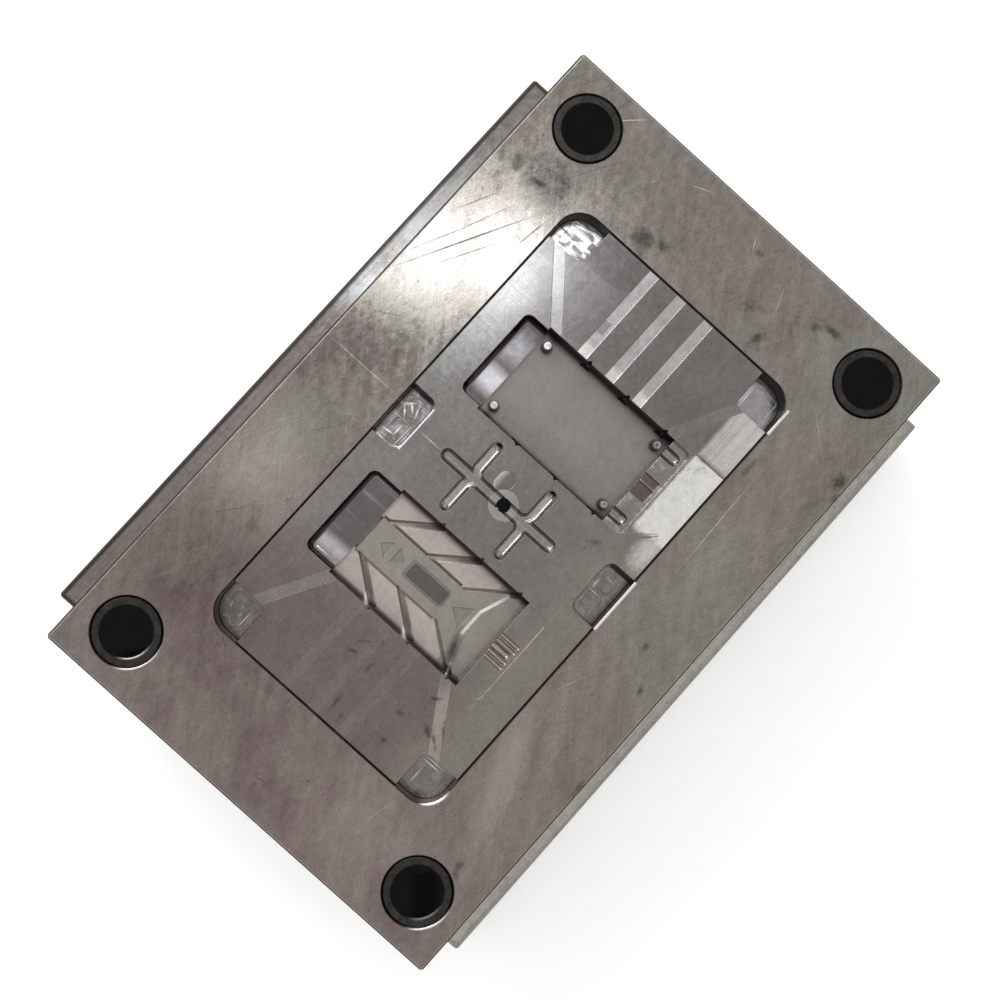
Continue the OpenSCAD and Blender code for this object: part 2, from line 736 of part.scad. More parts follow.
// A tunnel gate from the end of a branch down to the cavity's wall
module tunnel_gate(s, y) {
  start = [s * branch_reach, y, -branch_d / 4];
  end = [s * (cavity_pitch / 2 - half_w + over / 2), y, -gate_drop];
  reach = end - start;
  translate(start) rotate([0, atan2(norm([reach.x, reach.y]), reach.z), atan2(reach.y, reach.x)])
    cylinder(h = norm(reach), d1 = gate_d, d2 = gate_tip_d);
}

module vent(p, q) {
  swept(p, q) translate([-vent_w / 2, -vent_d]) square([vent_w, vent_d + over]);
}

module vents() {
  edge = cavity_pitch / 2 + half_w;
  for (s = [-1, 1]) {
    for (k = [-1:1]) {
      y = vent_y + k * vent_pitch;
      vent([s * (edge - over), y], [s * (insert_l / 2 + over), y]);
    }
  }
  for (k = [0:3]) {
    s = k % 2 == 0 ? -1 : 1;
    t = k < 2 ? 1 : -1;
    start = [s * (edge - over), t * (half_l - vent_from[k])];
    pocket = [s * (insert_l / 2 - notch_l), t * (insert_w / 2 - vent_to[k])];
    vent(start, pocket + lock_r / 2 * (pocket - start) / norm(pocket - start));
  }
}

module insert_drillings() {
  back = -insert_t;
  drill = back + cool_up;
  insert_screw_places(-z_face) screw_room(insert_screw_d, insert_screw_grip(), insert_screw_bite);
  for (at = pins) translate([at.x, at.y, back]) {
    translate([0, 0, -over]) cylinder(h = insert_t, d = pin_d + 2 * pin_gap);
    translate([0, 0, -over]) cylinder(h = pin_head_t + over, d = pin_head_d + 2 * pin_gap);
  }
  for (at = risers) {
    translate([at.x, at.y, back - over]) cylinder(h = cool_up + over, d = cool_d);
    translate([at.x, cool_y, drill]) rotate([90, 0, 0])
      cylinder(h = cool_y + insert_w / 2 + over, d = cool_d);
    translate([at.x, plug_sunk + plug_l - insert_w / 2, drill]) rotate([90, 0, 0])
      cylinder(h = plug_sunk + plug_l + over, d = plug_d + 2 * thread_gap);
  }
  for (s = [-1, 1]) {
    near = cavity_pitch / 2 - cool_x;
    translate([s * near, cool_y, drill]) rotate([0, 90 * s, 0])
      cylinder(h = insert_l / 2 - near + over, d = cool_d);
    translate([s * (insert_l / 2 - plug_sunk - plug_l), cool_y, drill]) rotate([0, 90 * s, 0])
      cylinder(h = plug_sunk + plug_l + over, d = plug_d + 2 * thread_gap);
  }
}

// Guide bushes

module guide_bush(at) {
  r = bush_bore / 2;
  bend = r + bush_mouth;
  top = plate_t - bush_mouth;
  color([0.13, 0.13, 0.14])
    translate([at.x, at.y, z_plate])
      rotate_extrude() difference() {
        polygon([
          [r, plate_t], [bush_d / 2 - bush_edge, plate_t], [bush_d / 2, plate_t - bush_edge],
          [bush_d / 2, bush_flange_t], [bush_flange_d / 2, bush_flange_t], [bush_flange_d / 2, 0],
          [r + bush_relief, 0], [r + bush_relief, top - bush_land], [r, top - bush_land]
        ]);
        difference() {
          translate([r - over, top]) square(bush_mouth + over);
          translate([bend, top]) circle(bush_mouth);
        }
      }
}

// Sprue bush and its dowel

module sprue_bush() {
  color([0.72, 0.72, 0.73])
    difference() {
      union() {
        translate([0, 0, z_ring_seat]) cylinder(h = sprue_head_t, d = sprue_head_d);
        translate([0, 0, z_shoulder - over]) cylinder(h = z_face - z_shoulder + over, d = sprue_d);
      }
      translate([0, 0, z_ring_seat])
        cylinder(h = z_face - z_ring_seat, d1 = sprue_nozzle_d, d2 = sprue_mouth_d);
      translate([0, 0, z_ring_seat - nozzle_r + nozzle_d]) sphere(nozzle_r);
      translate([dowel_x, 0, z_shoulder - dowel_l / 2]) cylinder(h = dowel_l / 2 + over, d = dowel_d);
      translate([0, 0, z_face]) runner();
    }
}

module bush_dowel() {
  color([0.70, 0.70, 0.71])
    translate([dowel_x, 0, z_shoulder - dowel_l / 2]) cylinder(h = dowel_l, d = dowel_d);
}

// Locating ring

module locating_ring() {
  r = ring_d / 2;
  color([0.60, 0.60, 0.61])
    difference() {
      rotate_extrude() polygon([
        [ring_bore / 2 + ring_chamfer, 0], [r - ring_chamfer, 0], [r, ring_chamfer],
        [r, ring_proud],
        [ring_spigot_d / 2, ring_proud], [ring_spigot_d / 2, ring_t], [ring_bore / 2, ring_t],
        [ring_bore / 2, ring_chamfer]
      ]);
      ring_screw_places() screw_room(ring_screw_d, ring_screw_grip(), ring_screw_bite);
    }
}

// Screws: each stands head down, because every head is reached from the back

function ring_screw_grip() = ring_t - head_sunk - head_h * ring_screw_d;
function clamp_screw_grip() = clamp_t - head_sunk - head_h * clamp_screw_d;
function insert_screw_grip() = z_pocket - z_plate - head_sunk - head_h * insert_screw_d;

module head_down(places, z) {
  for (at = places) translate([at.x, at.y, z]) mirror([0, 0, 1]) children();
}

module ring_screw_places() {
  head_down(ring_screws_at, z_ring_seat + ring_screw_bite) children();
}

module clamp_screw_places() {
  head_down(clamp_screws_at, z_plate + clamp_screw_bite) children();
}

module insert_screw_places(shift = 0) {
  head_down(insert_screws_at, z_pocket + insert_screw_bite + shift) children();
}

module ring_screws() {
  color([0.20, 0.20, 0.21])
    ring_screw_places() cap_screw(ring_screw_d, ring_screw_grip(), ring_screw_bite);
}

module clamp_screws() {
  color([0.20, 0.20, 0.21])
    clamp_screw_places() cap_screw(clamp_screw_d, clamp_screw_grip(), clamp_screw_bite);
}

module insert_screws() {
  color([0.20, 0.20, 0.21])
    insert_screw_places() cap_screw(insert_screw_d, insert_screw_grip(), insert_screw_bite);
}

// Core pins

module core_pin(at) {
  color([0.78, 0.78, 0.79]) translate([at.x, at.y, z_pocket]) {
    cylinder(h = insert_t - pin_drop, d = pin_d);
    cylinder(h = pin_head_t, d = pin_head_d);
  }
}

// Cooling: sealing rings under the insert and plugs in its drillings

module seal_ring(at) {
  color([0.08, 0.08, 0.08]) translate([at.x, at.y, z_pocket - seal_groove]) rotate_extrude()
    intersection() {
      translate([(seal_bore + seal_cord) / 2, seal_groove / 2]) circle(d = seal_cord, $fn = soft_fn);
      translate([seal_bore / 2, 0]) square([seal_cord, seal_groove]);
    }
}

module channel_plug() {
  color([0.72, 0.58, 0.30]) difference() {
    cylinder(h = plug_l, d = plug_d);
    translate([0, 0, plug_l / 2]) cylinder(h = plug_l, d = plug_d / 2 / cos(30), $fn = 6);
  }
}

module long_plug(k) {
  at = risers[k];
  translate([at.x, plug_sunk + plug_l - insert_w / 2, z_cool]) rotate([90, 0, 0]) channel_plug();
}

module cross_plug(s) {
  translate([s * (insert_l / 2 - plug_sunk - plug_l), cool_y, z_cool])
    rotate([0, 90 * s, 0]) channel_plug();
}

clamp_plate();
cavity_plate();
cavity_insert();
guide_bush(guides[0]);  // guide_bush_1
guide_bush(guides[1]);  // guide_bush_2
guide_bush(guides[2]);  // guide_bush_3
guide_bush(guides[3]);  // guide_bush_4
sprue_bush();
bush_dowel();
locating_ring();
ring_screws();
clamp_screws();
insert_screws();
core_pin(pins[0]);  // core_pin_1
core_pin(pins[1]);  // core_pin_2
core_pin(pins[2]);  // core_pin_3
core_pin(pins[3]);  // core_pin_4
seal_ring(risers[0]);  // seal_ring_1
seal_ring(risers[1]);  // seal_ring_2
seal_ring(risers[2]);  // seal_ring_3
seal_ring(risers[3]);  // seal_ring_4
long_plug(0);  // channel_plug_1
long_plug(1);  // channel_plug_2
long_plug(2);  // channel_plug_3
long_plug(3);  // channel_plug_4
cross_plug(-1);  // channel_plug_5
cross_plug(1);  // channel_plug_6
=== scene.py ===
# Cavity half of an injection mould, seen from above its parting face
import json
import math

import bpy
from mathutils import Matrix, Vector


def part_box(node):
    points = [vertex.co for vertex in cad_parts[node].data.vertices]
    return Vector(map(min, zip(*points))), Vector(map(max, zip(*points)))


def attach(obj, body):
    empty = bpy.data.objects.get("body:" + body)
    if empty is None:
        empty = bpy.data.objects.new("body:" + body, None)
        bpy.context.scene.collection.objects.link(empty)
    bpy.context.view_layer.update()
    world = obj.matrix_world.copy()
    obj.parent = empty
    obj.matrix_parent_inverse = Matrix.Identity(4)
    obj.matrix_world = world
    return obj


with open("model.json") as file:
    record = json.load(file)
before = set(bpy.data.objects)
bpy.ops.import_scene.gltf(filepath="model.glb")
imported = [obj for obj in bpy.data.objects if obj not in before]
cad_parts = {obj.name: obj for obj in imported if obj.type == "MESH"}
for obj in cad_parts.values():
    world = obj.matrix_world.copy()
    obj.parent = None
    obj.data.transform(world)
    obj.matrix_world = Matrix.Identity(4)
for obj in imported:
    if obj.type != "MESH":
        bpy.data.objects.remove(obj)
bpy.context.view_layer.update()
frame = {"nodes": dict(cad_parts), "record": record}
nodes = frame["nodes"]
mm = 0.001                                      # everything below is thought of in millimetres
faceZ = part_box("cavity_plate")[1].z / mm        # height of the parting face
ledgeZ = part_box("clamp_plate")[1].z / mm        # height of the ledge that the clamp plate shows
scene = bpy.context.scene
print("model loaded:", len(nodes), "nodes")

part = {                                        # sizes of the CAD model that the finishes line up with
    "plateHalf": (200, 125), "clampHalf": (200, 150), "bushCentre": (172, 97), "bushRadius": 17.5,
    "insertHalf": (140, 75), "insertCorner": 13.35, "insertGap": 0.15, "ventDepths": (0.1, 0.3),
    "pitch": 55.5, "cavityHalf": (27.8, 42.75), "cavityDepth": 12, "pinSpread": (20.5, 37.8),
    "cavityReach": (30.2, 62), "runnerReach": (25, 45),     # nothing else is sunk within these
    "notchFrom": (117, 52), "lockFrom": (17, 58), "pocketFloor": 11,
}


# Shader helpers

class Wire:                                     # an output socket; sums on it add Math nodes
    def __init__(self, shader, socket):
        self.shader = shader
        self.socket = socket

    def math(self, operation, *values):
        return self.shader.node("ShaderNodeMath", {"operation": operation}, dict(enumerate(values)))

    def __add__(self, other):
        return self.math("ADD", self, other)

    def __sub__(self, other):
        return self.math("SUBTRACT", self, other)

    def __rsub__(self, other):
        return self.math("SUBTRACT", other, self)

    def __mul__(self, other):
        return self.math("MULTIPLY", self, other)

    def __truediv__(self, other):
        return self.math("DIVIDE", self, other)

    def __lt__(self, other):
        return self.math("LESS_THAN", self, other)

    def __gt__(self, other):
        return self.math("GREATER_THAN", self, other)

    def __abs__(self):
        return self.math("ABSOLUTE", self)

    def top(self, other):
        return self.math("MAXIMUM", self, other)

    def between(self, low, high):               # 1 from low to high, 0 elsewhere
        return (self > low) * (self < high)

    __radd__ = __add__
    __rmul__ = __mul__


class Shader:                                   # one node tree
    def __init__(self, tree):
        self.tree = tree
        tree.nodes.clear()

    def node(self, kind, settings=None, values=None, output=0):
        made = self.tree.nodes.new(kind)
        for name, value in (settings or {}).items():
            setattr(made, name, value)
        for name, value in (values or {}).items():
            if isinstance(value, Wire):
                self.tree.links.new(value.socket, made.inputs[name])
            else:
                made.inputs[name].default_value = value
        return Wire(self, made.outputs[output]) if made.outputs else None

    def mix(self, factor, under, over):
        settings = {"data_type": "RGBA", "clamp_factor": True}
        return self.node("ShaderNodeMix", settings, {0: factor, 6: under, 7: over}, 2)

    def step(self, value, low, high, toLow=0, toHigh=1):    # smooth step, falling if low is over high
        settings = {"interpolation_type": "SMOOTHSTEP"}
        return self.node("ShaderNodeMapRange", settings, {0: value, 1: low, 2: high, 3: toLow, 4: toHigh})


def span(x0, y0, x1, y1):                       # length of a line and its turn in degrees
    run = Vector((x1 - x0, y1 - y0))
    return run.length, math.degrees(math.atan2(run.y, run.x))


class Finish(Shader):                           # the material of one kind of surface, drawn in mm
    def __init__(self, name):
        self.material = bpy.data.materials.new(name)
        self.material.use_nodes = True
        super().__init__(self.material.node_tree)
        metres = self.node("ShaderNodeTexCoord", output="Object")
        self.place = self.node("ShaderNodeMapping", {}, {"Vector": metres, "Scale": (1 / mm,) * 3})
        self.x, self.y, self.z = [
            self.node("ShaderNodeSeparateXYZ", {}, {0: self.place}, axis) for axis in range(3)]

    def local(self, x, y, sizeX, sizeY, turn=0, z=0, sizeZ=1e6):
        return self.node("ShaderNodeMapping", {"vector_type": "TEXTURE"}, {
            "Vector": self.place, "Location": (x, y, z), "Rotation": (0, 0, math.radians(turn)),
            "Scale": (sizeX, sizeY, sizeZ)})

    def noise(self, sizeX, sizeY=None, turn=0, detail=2, rough=0.5, seed=0, wavy=0):
        where = self.local(seed * 13.7, seed * 5.3, sizeX, sizeY or sizeX, turn, seed * 3.1, sizeX)
        return self.node("ShaderNodeTexNoise", {}, {
            "Vector": where, "Scale": 1, "Detail": detail, "Roughness": rough, "Distortion": wavy})

    def near(self, x, y, rx, ry, turn):         # 1 in an oval's middle, 0.5 on its rim, 0 at twice its size
        return self.node("ShaderNodeTexGradient", {"gradient_type": "SPHERICAL"}, {
            "Vector": self.local(x, y, 2 * rx, 2 * ry, turn)}, "Fac")

    def edge(self, near, soft, rag=None):       # turns that nearness into a spot, ragged by a noise
        if rag:
            near = near - rag
        return self.step(near, 0.5 - soft / 4, 0.5 + soft / 2)

    def blob(self, x, y, rx, ry, turn=0, soft=0.6, rag=None):
        return self.edge(self.near(x, y, rx, ry, turn), soft, rag * 0.5 if rag else None)

    def panel(self, x0, y0, x1, y1, soft):      # a rectangle along the axes
        across = abs(self.x - (x0 + x1) / 2) - (x1 - x0) / 2
        along = abs(self.y - (y0 + y1) / 2) - (y1 - y0) / 2
        return self.step(across.top(along), soft / 2, -soft / 2)

    def scratch(self, x0, y0, x1, y1, width):   # nearness to a line that thins out at both ends
        length, turn = span(x0, y0, x1, y1)
        return self.near((x0 + x1) / 2, (y0 + y1) / 2, length / 2, width / 2, turn)

    def strip(self, x0, y0, x1, y1, width, soft):   # a band with square edges
        length, turn = span(x0, y0, x1, y1)
        where = self.local((x0 + x1) / 2, (y0 + y1) / 2, 1, 1, turn)
        along = abs(self.node("ShaderNodeSeparateXYZ", {}, {0: where}, 0)) - length / 2
        across = abs(self.node("ShaderNodeSeparateXYZ", {}, {0: where}, 1)) - width / 2
        return self.step(across.top(along), soft / 2, -soft / 2)

    def tint(self, colour, amount):             # colour scaled by a value near 1
        if not isinstance(colour, Wire):
            colour = colour[:3]
        return self.node("ShaderNodeVectorMath", {"operation": "SCALE"}, {0: colour, "Scale": amount})

    def outside(self, half):                    # distance outside a rectangle, negative inside it
        return (abs(self.x) - half[0]).top(abs(self.y) - half[1])

    def fromMirrored(self, centre):             # distance from the nearest of four mirrored centres
        return self.length(abs(self.x) - centre[0], abs(self.y) - centre[1])

    def rounded(self, halfX, halfY, radius):    # distance outside a rectangle with round corners
        x = (abs(self.x) - (halfX - radius)).top(0)
        y = (abs(self.y) - (halfY - radius)).top(0)
        return self.length(x, y) - radius

    def length(self, x, y):
        return self.node("ShaderNodeVectorMath", {"operation": "LENGTH"}, {
            0: self.node("ShaderNodeCombineXYZ", {}, {0: x, 1: y})}, "Value")

    def close(self, colour, roughness, height, bevel, metallic=1, distance=0.02, paintedShade=None, sharp=None):
        normal = self.node("ShaderNodeBevel", {"samples": 4}, {"Radius": bevel * mm})
        if sharp:                               # where edges stay as sharp as they are modelled
            plain = self.node("ShaderNodeNewGeometry", output="Normal")
            normal = self.node("ShaderNodeMix", {"data_type": "VECTOR"}, {0: sharp, 4: normal, 5: plain}, 1)
        normal = self.node("ShaderNodeBump", {}, {
            "Height": height, "Distance": distance * mm, "Strength": 1.0, "Normal": normal})
        shader = self.node("ShaderNodeBsdfPrincipled", {}, {
            "Base Color": colour, "Roughness": roughness, "Metallic": metallic, "Normal": normal})
        if paintedShade:                                # painted shade: a near-black glow laid where little light comes back, in bores, pockets and along edges
            black = self.node("ShaderNodeEmission", {}, {"Color": paintedDepthShade})
            shader = self.node("ShaderNodeMixShader", {}, {0: paintedShade, 1: shader, 2: black})
        self.node("ShaderNodeOutputMaterial", {}, {"Surface": shader})
        return self.material


overhead = 0.68                                 # brightness of the room above the plate
# painted shade: the near-black glow put in the depths of bores and pockets
paintedDepthShade = (0.0072, 0.0076, 0.0076, 1)      # what the photo shows deep in bores and pockets


def shown(r, g, b):                             # steel's own colour, from how it shows under that light
    def linear(v):
        v = v / 255
        return v / 12.92 if v < 0.04045 else ((v + 0.055) / 1.055) ** 2.4
    return tuple(min(0.97, linear(v) / overhead) for v in (r, g, b)) + (1,)


# Camera, light and floor

view = {                                        # eye and aim in mm, the picture's upward turn in degrees
    "eye": (-33.1, 13.1, 720.8), "aim": (0.8, 3.2, 115), "up": 42.0, "lens": 43.3,
    "sensor": 36, "clip": (0.01, 50),           # sensor in mm, clip distances in metres
}
lampColour = (0.93, 1.0, 1.06)


def placeCamera():
    eye, aim = Vector(view["eye"]) * mm, Vector(view["aim"]) * mm
    back = (eye - aim).normalized()
    upHint = Vector((math.cos(math.radians(view["up"])), math.sin(math.radians(view["up"])), 0))
    right = upHint.cross(back).normalized()
    turned = Matrix((right, back.cross(right), back)).transposed()
    camera = bpy.data.objects.new("camera", bpy.data.cameras.new("camera"))
    camera.data.lens, camera.data.sensor_width = view["lens"], view["sensor"]
    camera.data.clip_start, camera.data.clip_end = view["clip"]
    camera.matrix_world = Matrix.Translation(eye) @ turned.to_4x4()
    scene.collection.objects.link(camera)
    scene.camera = camera


lamps = {                                       # at, aimed at (mm), size (mm), radiance
    "window": ((312, 281, 1315), (86, 101, 115), (272, 138), 6.5),
    "secondWindow": ((-108, 282, 1315), (-58, 102, 115), (150, 110), 0.8),
    "key": ((500, 1700, 1300), (0, 0, 100), (1500, 900), 4.0),
}
room = {                                        # radiance round the overhead part and of the walls
    "toWindow": (0.42, 0.91, 0), "ring": 1.0, "bright": 1.5, "dark": 0.2, "seen": (1.0, 1.0, 0.995, 1),
}


def lightStudio():
    for name, (at, aim, (wide, tall), radiance) in lamps.items():
        lamp = bpy.data.lights.new(name, "AREA")
        lamp.shape = "RECTANGLE"
        lamp.size, lamp.size_y = wide * mm, tall * mm
        lamp.energy = radiance * math.pi * wide * tall * mm * mm
        lamp.color = lampColour
        thing = bpy.data.objects.new(name, lamp)
        thing.visible_camera = False
        thing.location = Vector(at) * mm
        thing.rotation_euler = (Vector(at) - Vector(aim)).to_track_quat("Z", "Y").to_euler()
        scene.collection.objects.link(thing)
    world = bpy.data.worlds.new("room")
    world.use_nodes = True
    scene.world = world
    air = Shader(world.node_tree)
    look = air.node("ShaderNodeTexCoord", output="Generated")
    z = air.node("ShaderNodeSeparateXYZ", {}, {0: look}, 2)
    across = air.node("ShaderNodeVectorMath", {"operation": "DOT_PRODUCT"}, {
        0: look, 1: room["toWindow"]}, "Value")
    walls = air.step(across, -0.2, 1.0, room["dark"], room["bright"])
    above = air.step(z, 0.87, 0.7, overhead, room["ring"])
    level = above + (walls - above) * air.step(z, 0.72, 0.42)
    warm = air.node("ShaderNodeCombineColor", {}, {0: level, 1: level * 0.995, 2: level * 0.985})
    straight = air.node("ShaderNodeLightPath", output="Is Camera Ray")
    back = air.node("ShaderNodeBackground", {}, {"Color": air.mix(straight, warm, room["seen"])})
    air.node("ShaderNodeOutputWorld", {}, {"Surface": back})


def layFloor(half=4.0):
    corners = [(-half, -half, 0), (half, -half, 0), (half, half, 0), (-half, half, 0)]
    mesh = bpy.data.meshes.new("floor")
    mesh.from_pydata(corners, [], [(0, 1, 2, 3)])
    floor = bpy.data.objects.new("floor", mesh)
    scene.collection.objects.link(floor)
    material = bpy.data.materials.new("pale_floor")
    material.use_nodes = True
    pale = Shader(material.node_tree)
    grain = pale.node("ShaderNodeTexNoise", {}, {"Scale": 90, "Detail": 3})
    tone = pale.step(grain, 0.2, 0.8, 0.88, 0.9)
    colour = pale.node("ShaderNodeCombineColor", {}, {0: tone, 1: tone, 2: tone * 0.995})
    skin = pale.node("ShaderNodeBsdfPrincipled", {}, {
        "Base Color": colour, "Roughness": 0.8, "Emission Color": (1, 1, 0.995, 1), "Emission Strength": 0.4})
    pale.node("ShaderNodeOutputMaterial", {}, {"Surface": skin})
    mesh.materials.append(material)


placeCamera()
lightStudio()
layFloor()
scene.view_settings.view_transform = "Standard"
scene.cycles.max_bounces = 2                    # enough for light inside the cavities
print("camera, light and floor placed")


# Finishes

def groundTexture(finish, seed):                # grain, mottling and clouds of ground steel
    grain = finish.noise(0.8, detail=2, rough=0.6, seed=seed)
    speckle = finish.noise(3.6, detail=2, rough=0.6, seed=seed + 1)
    cloud = finish.noise(34, detail=4, rough=0.6, seed=seed + 2)
    return grain - 0.5, speckle - 0.5, cloud - 0.5


def brushMarks(finish, seed):                   # long fine marks in three directions
    streaks = 0
    for turn, length in ((2, 60), (38, 45), (-31, 50)):
        streaks = streaks + finish.noise(length, 0.8, turn, 1, 0.5, seed + turn / 10)
    return streaks / 3 - 0.5


def blotches(finish, places, rag):              # soft ragged spots, as strong as the nearest one
    found = 0
    for x, y, rx, ry, turn, amount in places:
        found = (finish.near(x, y, rx, ry, turn) * (0.45 + 0.55 * amount)).top(found)
    return finish.edge(found, 0.9, rag)


def toneAndPaintedLight(finish, places):                    # wide areas a little lighter or darker than the rest: tone that differs, and painted light and shade such as glare bands and dimmed glare edges
    total = 1
    for x, y, rx, ry, turn, amount in places:
        total = total + finish.blob(x, y, rx, ry, turn, 1.0) * amount
    return total


def scratches(finish, places):
    found = 0
    for x0, y0, x1, y1, width, amount in places:
        found = (finish.scratch(x0, y0, x1, y1, width) * (0.4 + 0.6 * amount)).top(found)
    return finish.edge(found, 0.8)


def hairlines(finish, seed, turns=(24, -33, 68)):   # sparse long light scratches
    found = 0
    for turn in turns:
        lines = finish.noise(34, 0.5, turn, 1, 0.5, seed + turn / 10)
        found = finish.step(lines, 0.66, 0.74).top(found)
    return found


plateLook = {
    "ground": shown(124, 118, 112), "left": shown(121, 111, 107), "plum": shown(112, 97, 98),
    "green": shown(122, 122, 113), "dark": shown(76, 70, 66), "rust": shown(110, 97, 90),
    "edge": shown(54, 49, 46), "glint": shown(240, 240, 238), "bright": shown(182, 178, 174),
    "roughness": 0.165, "grain": 0.5, "speckle": 0.4, "streak": 0.75,
    "outline": (-1.3, -0.5, 0, 0.7),            # from, to, weakest, strongest
    "bushGlints": ((-180, 81, 13, 9, -20, 0.6, 1.0), (-180, -113, 12, 8, -20, 0.6, 0.7)),
    "cornerGlint": (-133, -74, 8, 5, -24),
    "lowerGlintsX": (15.8, 117.5, 134),         # below the middle lock up to this x, and between these two
    # painted light and shade among the tones: lighter diagonal glare bands low on the left, and darkened
    # edges of the window's glare
    "shades": (
        (-168, -58, 30, 45, 0, 0.2), (-100, -90, 46, 9, 24, 0.5), (-92, -108, 40, 5, 26, 0.2),
        (-125, 100, 34, 24, 0, -0.24), (-160, 45, 26, 34, 0, -0.08), (141, 100, 11, 24, 0, -0.12),
        (-15, 100, 50, 34, 0, -0.14), (134, 88, 22, 15, 30, -0.42), (-30, -84, 60, 5, 4, 0.1),
        (60, -95, 70, 8, 8, 0.08), (110, -118, 50, 6, 3, -0.08)),
    "stains": (
        (149, 38, 6, 9, 20, 0.85), (154, 30, 8, 5, 60, 0.6), (150, -39, 9, 5, -15, 0.6),
        (160, -24, 5, 8, 10, 0.45), (180, -66, 2.5, 7, 5, 0.8), (176, -58, 4, 5, 40, 0.5),
        (124, -120, 4.5, 3.5, 0, 1.0), (116, -124, 3, 2, 0, 0.6), (-5, -101, 4.5, 2.5, 0, 0.6),
        (135, 112, 8, 5, 30, 0.55), (134, 97, 5, 11, 10, 0.5), (143, 88, 5, 6, 0, 0.45),
        (184, -10, 3, 4, 0, 0.4), (-150, -104, 8, 3, 10, 0.45), (-80, -123, 7, 2, 0, 0.6),
        (100, -80, 12, 2.5, 0, 0.45), (-24, -114, 4, 1.6, 20, 0.6), (170, -48, 12, 3, 20, 0.3)),
    "scratches": (
        (53, 122, 122, 86, 1.1, 0.7), (49, 118, 116, 81, 0.8, 0.5), (60, 124, 96, 107, 0.8, 0.6),
        (95, 119, 120, 107, 0.8, 0.6), (70, 118, 128, 94, 0.6, 0.5), (142, 121, 152, 110, 0.8, 0.6),
        (-108, 112, -78, 88, 0.9, 0.5), (-40, 99, -22, 86, 0.8, 0.5), (-183, 3, -181, -6, 0.9, 0.7),
        (146, 6, 170, -30, 0.5, 0.5), (30, 112, 44, 80, 0.8, 0.5), (26, 120, 40, 96, 1.2, 0.5),
        (100, 84, 126, 80, 1.4, 0.5), (-1, 91.6, -1.1, 91.4, 1.4, 1.0)),
    "shines": (
        (4.8, 126, 5.2, 76, 0.8, 0.7), (184, 90, 196, 78, 0.8, 0.9), (30, -88, 100, -86, 0.6, 0.7),
        (150, -78, 122, -112, 0.5, 0.4), (-140, -60, -170, -52, 0.5, 0.4), (186, 40, 192, 26, 0.6, 0.7),
        (-60, -78, -28, -92, 0.5, 0.4), (182, -8, 190, -4, 0.6, 0.8), (160, -40, 186, -30, 0.5, 0.5),
        (-150, 110, -126, 96, 0.5, 0.4), (173, 55, 178, 52, 0.5, 0.6), (173, 49, 178, 51, 0.5, 0.6)),
}


def plateFinish():
    steel = Finish("plate_steel")
    look = plateLook
    grain, speckle, cloud = groundTexture(steel, 3)
    streaks = brushMarks(steel, 6)
    rag = steel.noise(5, detail=3, rough=0.7, seed=11) - 0.5
    wide = steel.noise(75, detail=3, rough=0.55, seed=21) - 0.5
    brushed = steel.noise(40, 7, 32, 2, 0.6, 23) - 0.5
    mottle = steel.noise(9, detail=3, rough=0.6, seed=25) - 0.5
    face = steel.step(steel.z, faceZ - 1.8, faceZ - 1.6)
    plumHere = steel.step(wide, 0.0, 0.12) * steel.step(steel.x, 80, -120, 0.1, 1)
    greenHere = steel.step(wide, -0.02, -0.14) * steel.step(steel.x, -80, 120, 0.15, 1)
    colour = steel.mix(steel.step(steel.x, 40, -120), look["ground"], look["left"])
    colour = steel.mix(plumHere, colour, look["plum"])
    colour = steel.mix(greenHere, colour, look["green"])
    colour = steel.mix(steel.step(cloud + mottle * 0.5, 0.06, 0.26, 0, 0.45), colour, look["rust"])
    specks = steel.step(steel.noise(1.7, detail=1, seed=27), 0.68, 0.76)
    specks = specks * steel.step(wide + brushed, 0.0, 0.14, 0.15, 1)
    stains = blotches(steel, look["stains"], rag * 1.1) * 1.15
    colour = steel.mix(stains.top(specks * 0.7), colour, look["dark"])
    lines = scratches(steel, look["scratches"]) * face
    colour = steel.mix(lines, colour, look["dark"])
    shines = scratches(steel, look["shines"]).top(hairlines(steel, 29) * 0.1) * face
    colour = steel.mix(shines, colour, look["bright"])
    level = toneAndPaintedLight(steel, look["shades"]) + grain * look["grain"] + speckle * look["speckle"] \
        + streaks * look["streak"] + brushed * 0.5 + mottle * 0.24
    colour = steel.tint(colour, level)

    joint = plateJoint(steel)
    bush = steel.fromMirrored(part["bushCentre"])
    # painted shade: a dark line along the plate's outer top edge, also given the near-black glow
    outline = steel.step(steel.outside(part["plateHalf"]), *look["outline"]) * (steel.z > faceZ - 2)
    seam = steel.step(abs(joint - 0.1), 0.8, 0.35) * (steel.z > faceZ - 1.5)
    bushRing = steel.step(abs(bush - (part["bushRadius"] + 0.3)), 0.9, 0.5) * (steel.z > faceZ - 3)
    # edge colour: painted shade along the plate's outer edge, and the dark seam and bush rings of the joints
    colour = steel.mix(outline.top(seam).top(bushRing), colour, look["edge"])
    colour = steel.mix(plateGlints(steel, joint, bush), colour, look["glint"])
    rough = look["roughness"] + cloud * 0.16 + speckle * 0.22 + brushed * 0.2 + stains * 0.2 + lines * 0.2
    height = speckle * 0.8 + brushed * 1.6
    # painted shade: the walls of the pocket round the insert, stronger to the right, get the near-black glow
    walls = (steel.z < faceZ - 0.6) * joint.between(-8, 0.5) * steel.step(steel.x, -120, 130, 0.35, 0.9)
    below = (bush < 17) * (steel.z < faceZ - 20)    # seen through the guide bushes, painted black as shade
    return steel.close(colour, rough, height, 0.45, paintedShade=walls.top(below).top(outline))


def plateJoint(steel):                          # distance outside the pocket that holds the insert
    gap, corner = part["insertGap"], part["insertCorner"]
    halfX, halfY = part["insertHalf"]
    return steel.rounded(halfX + gap, halfY + gap, corner + gap)


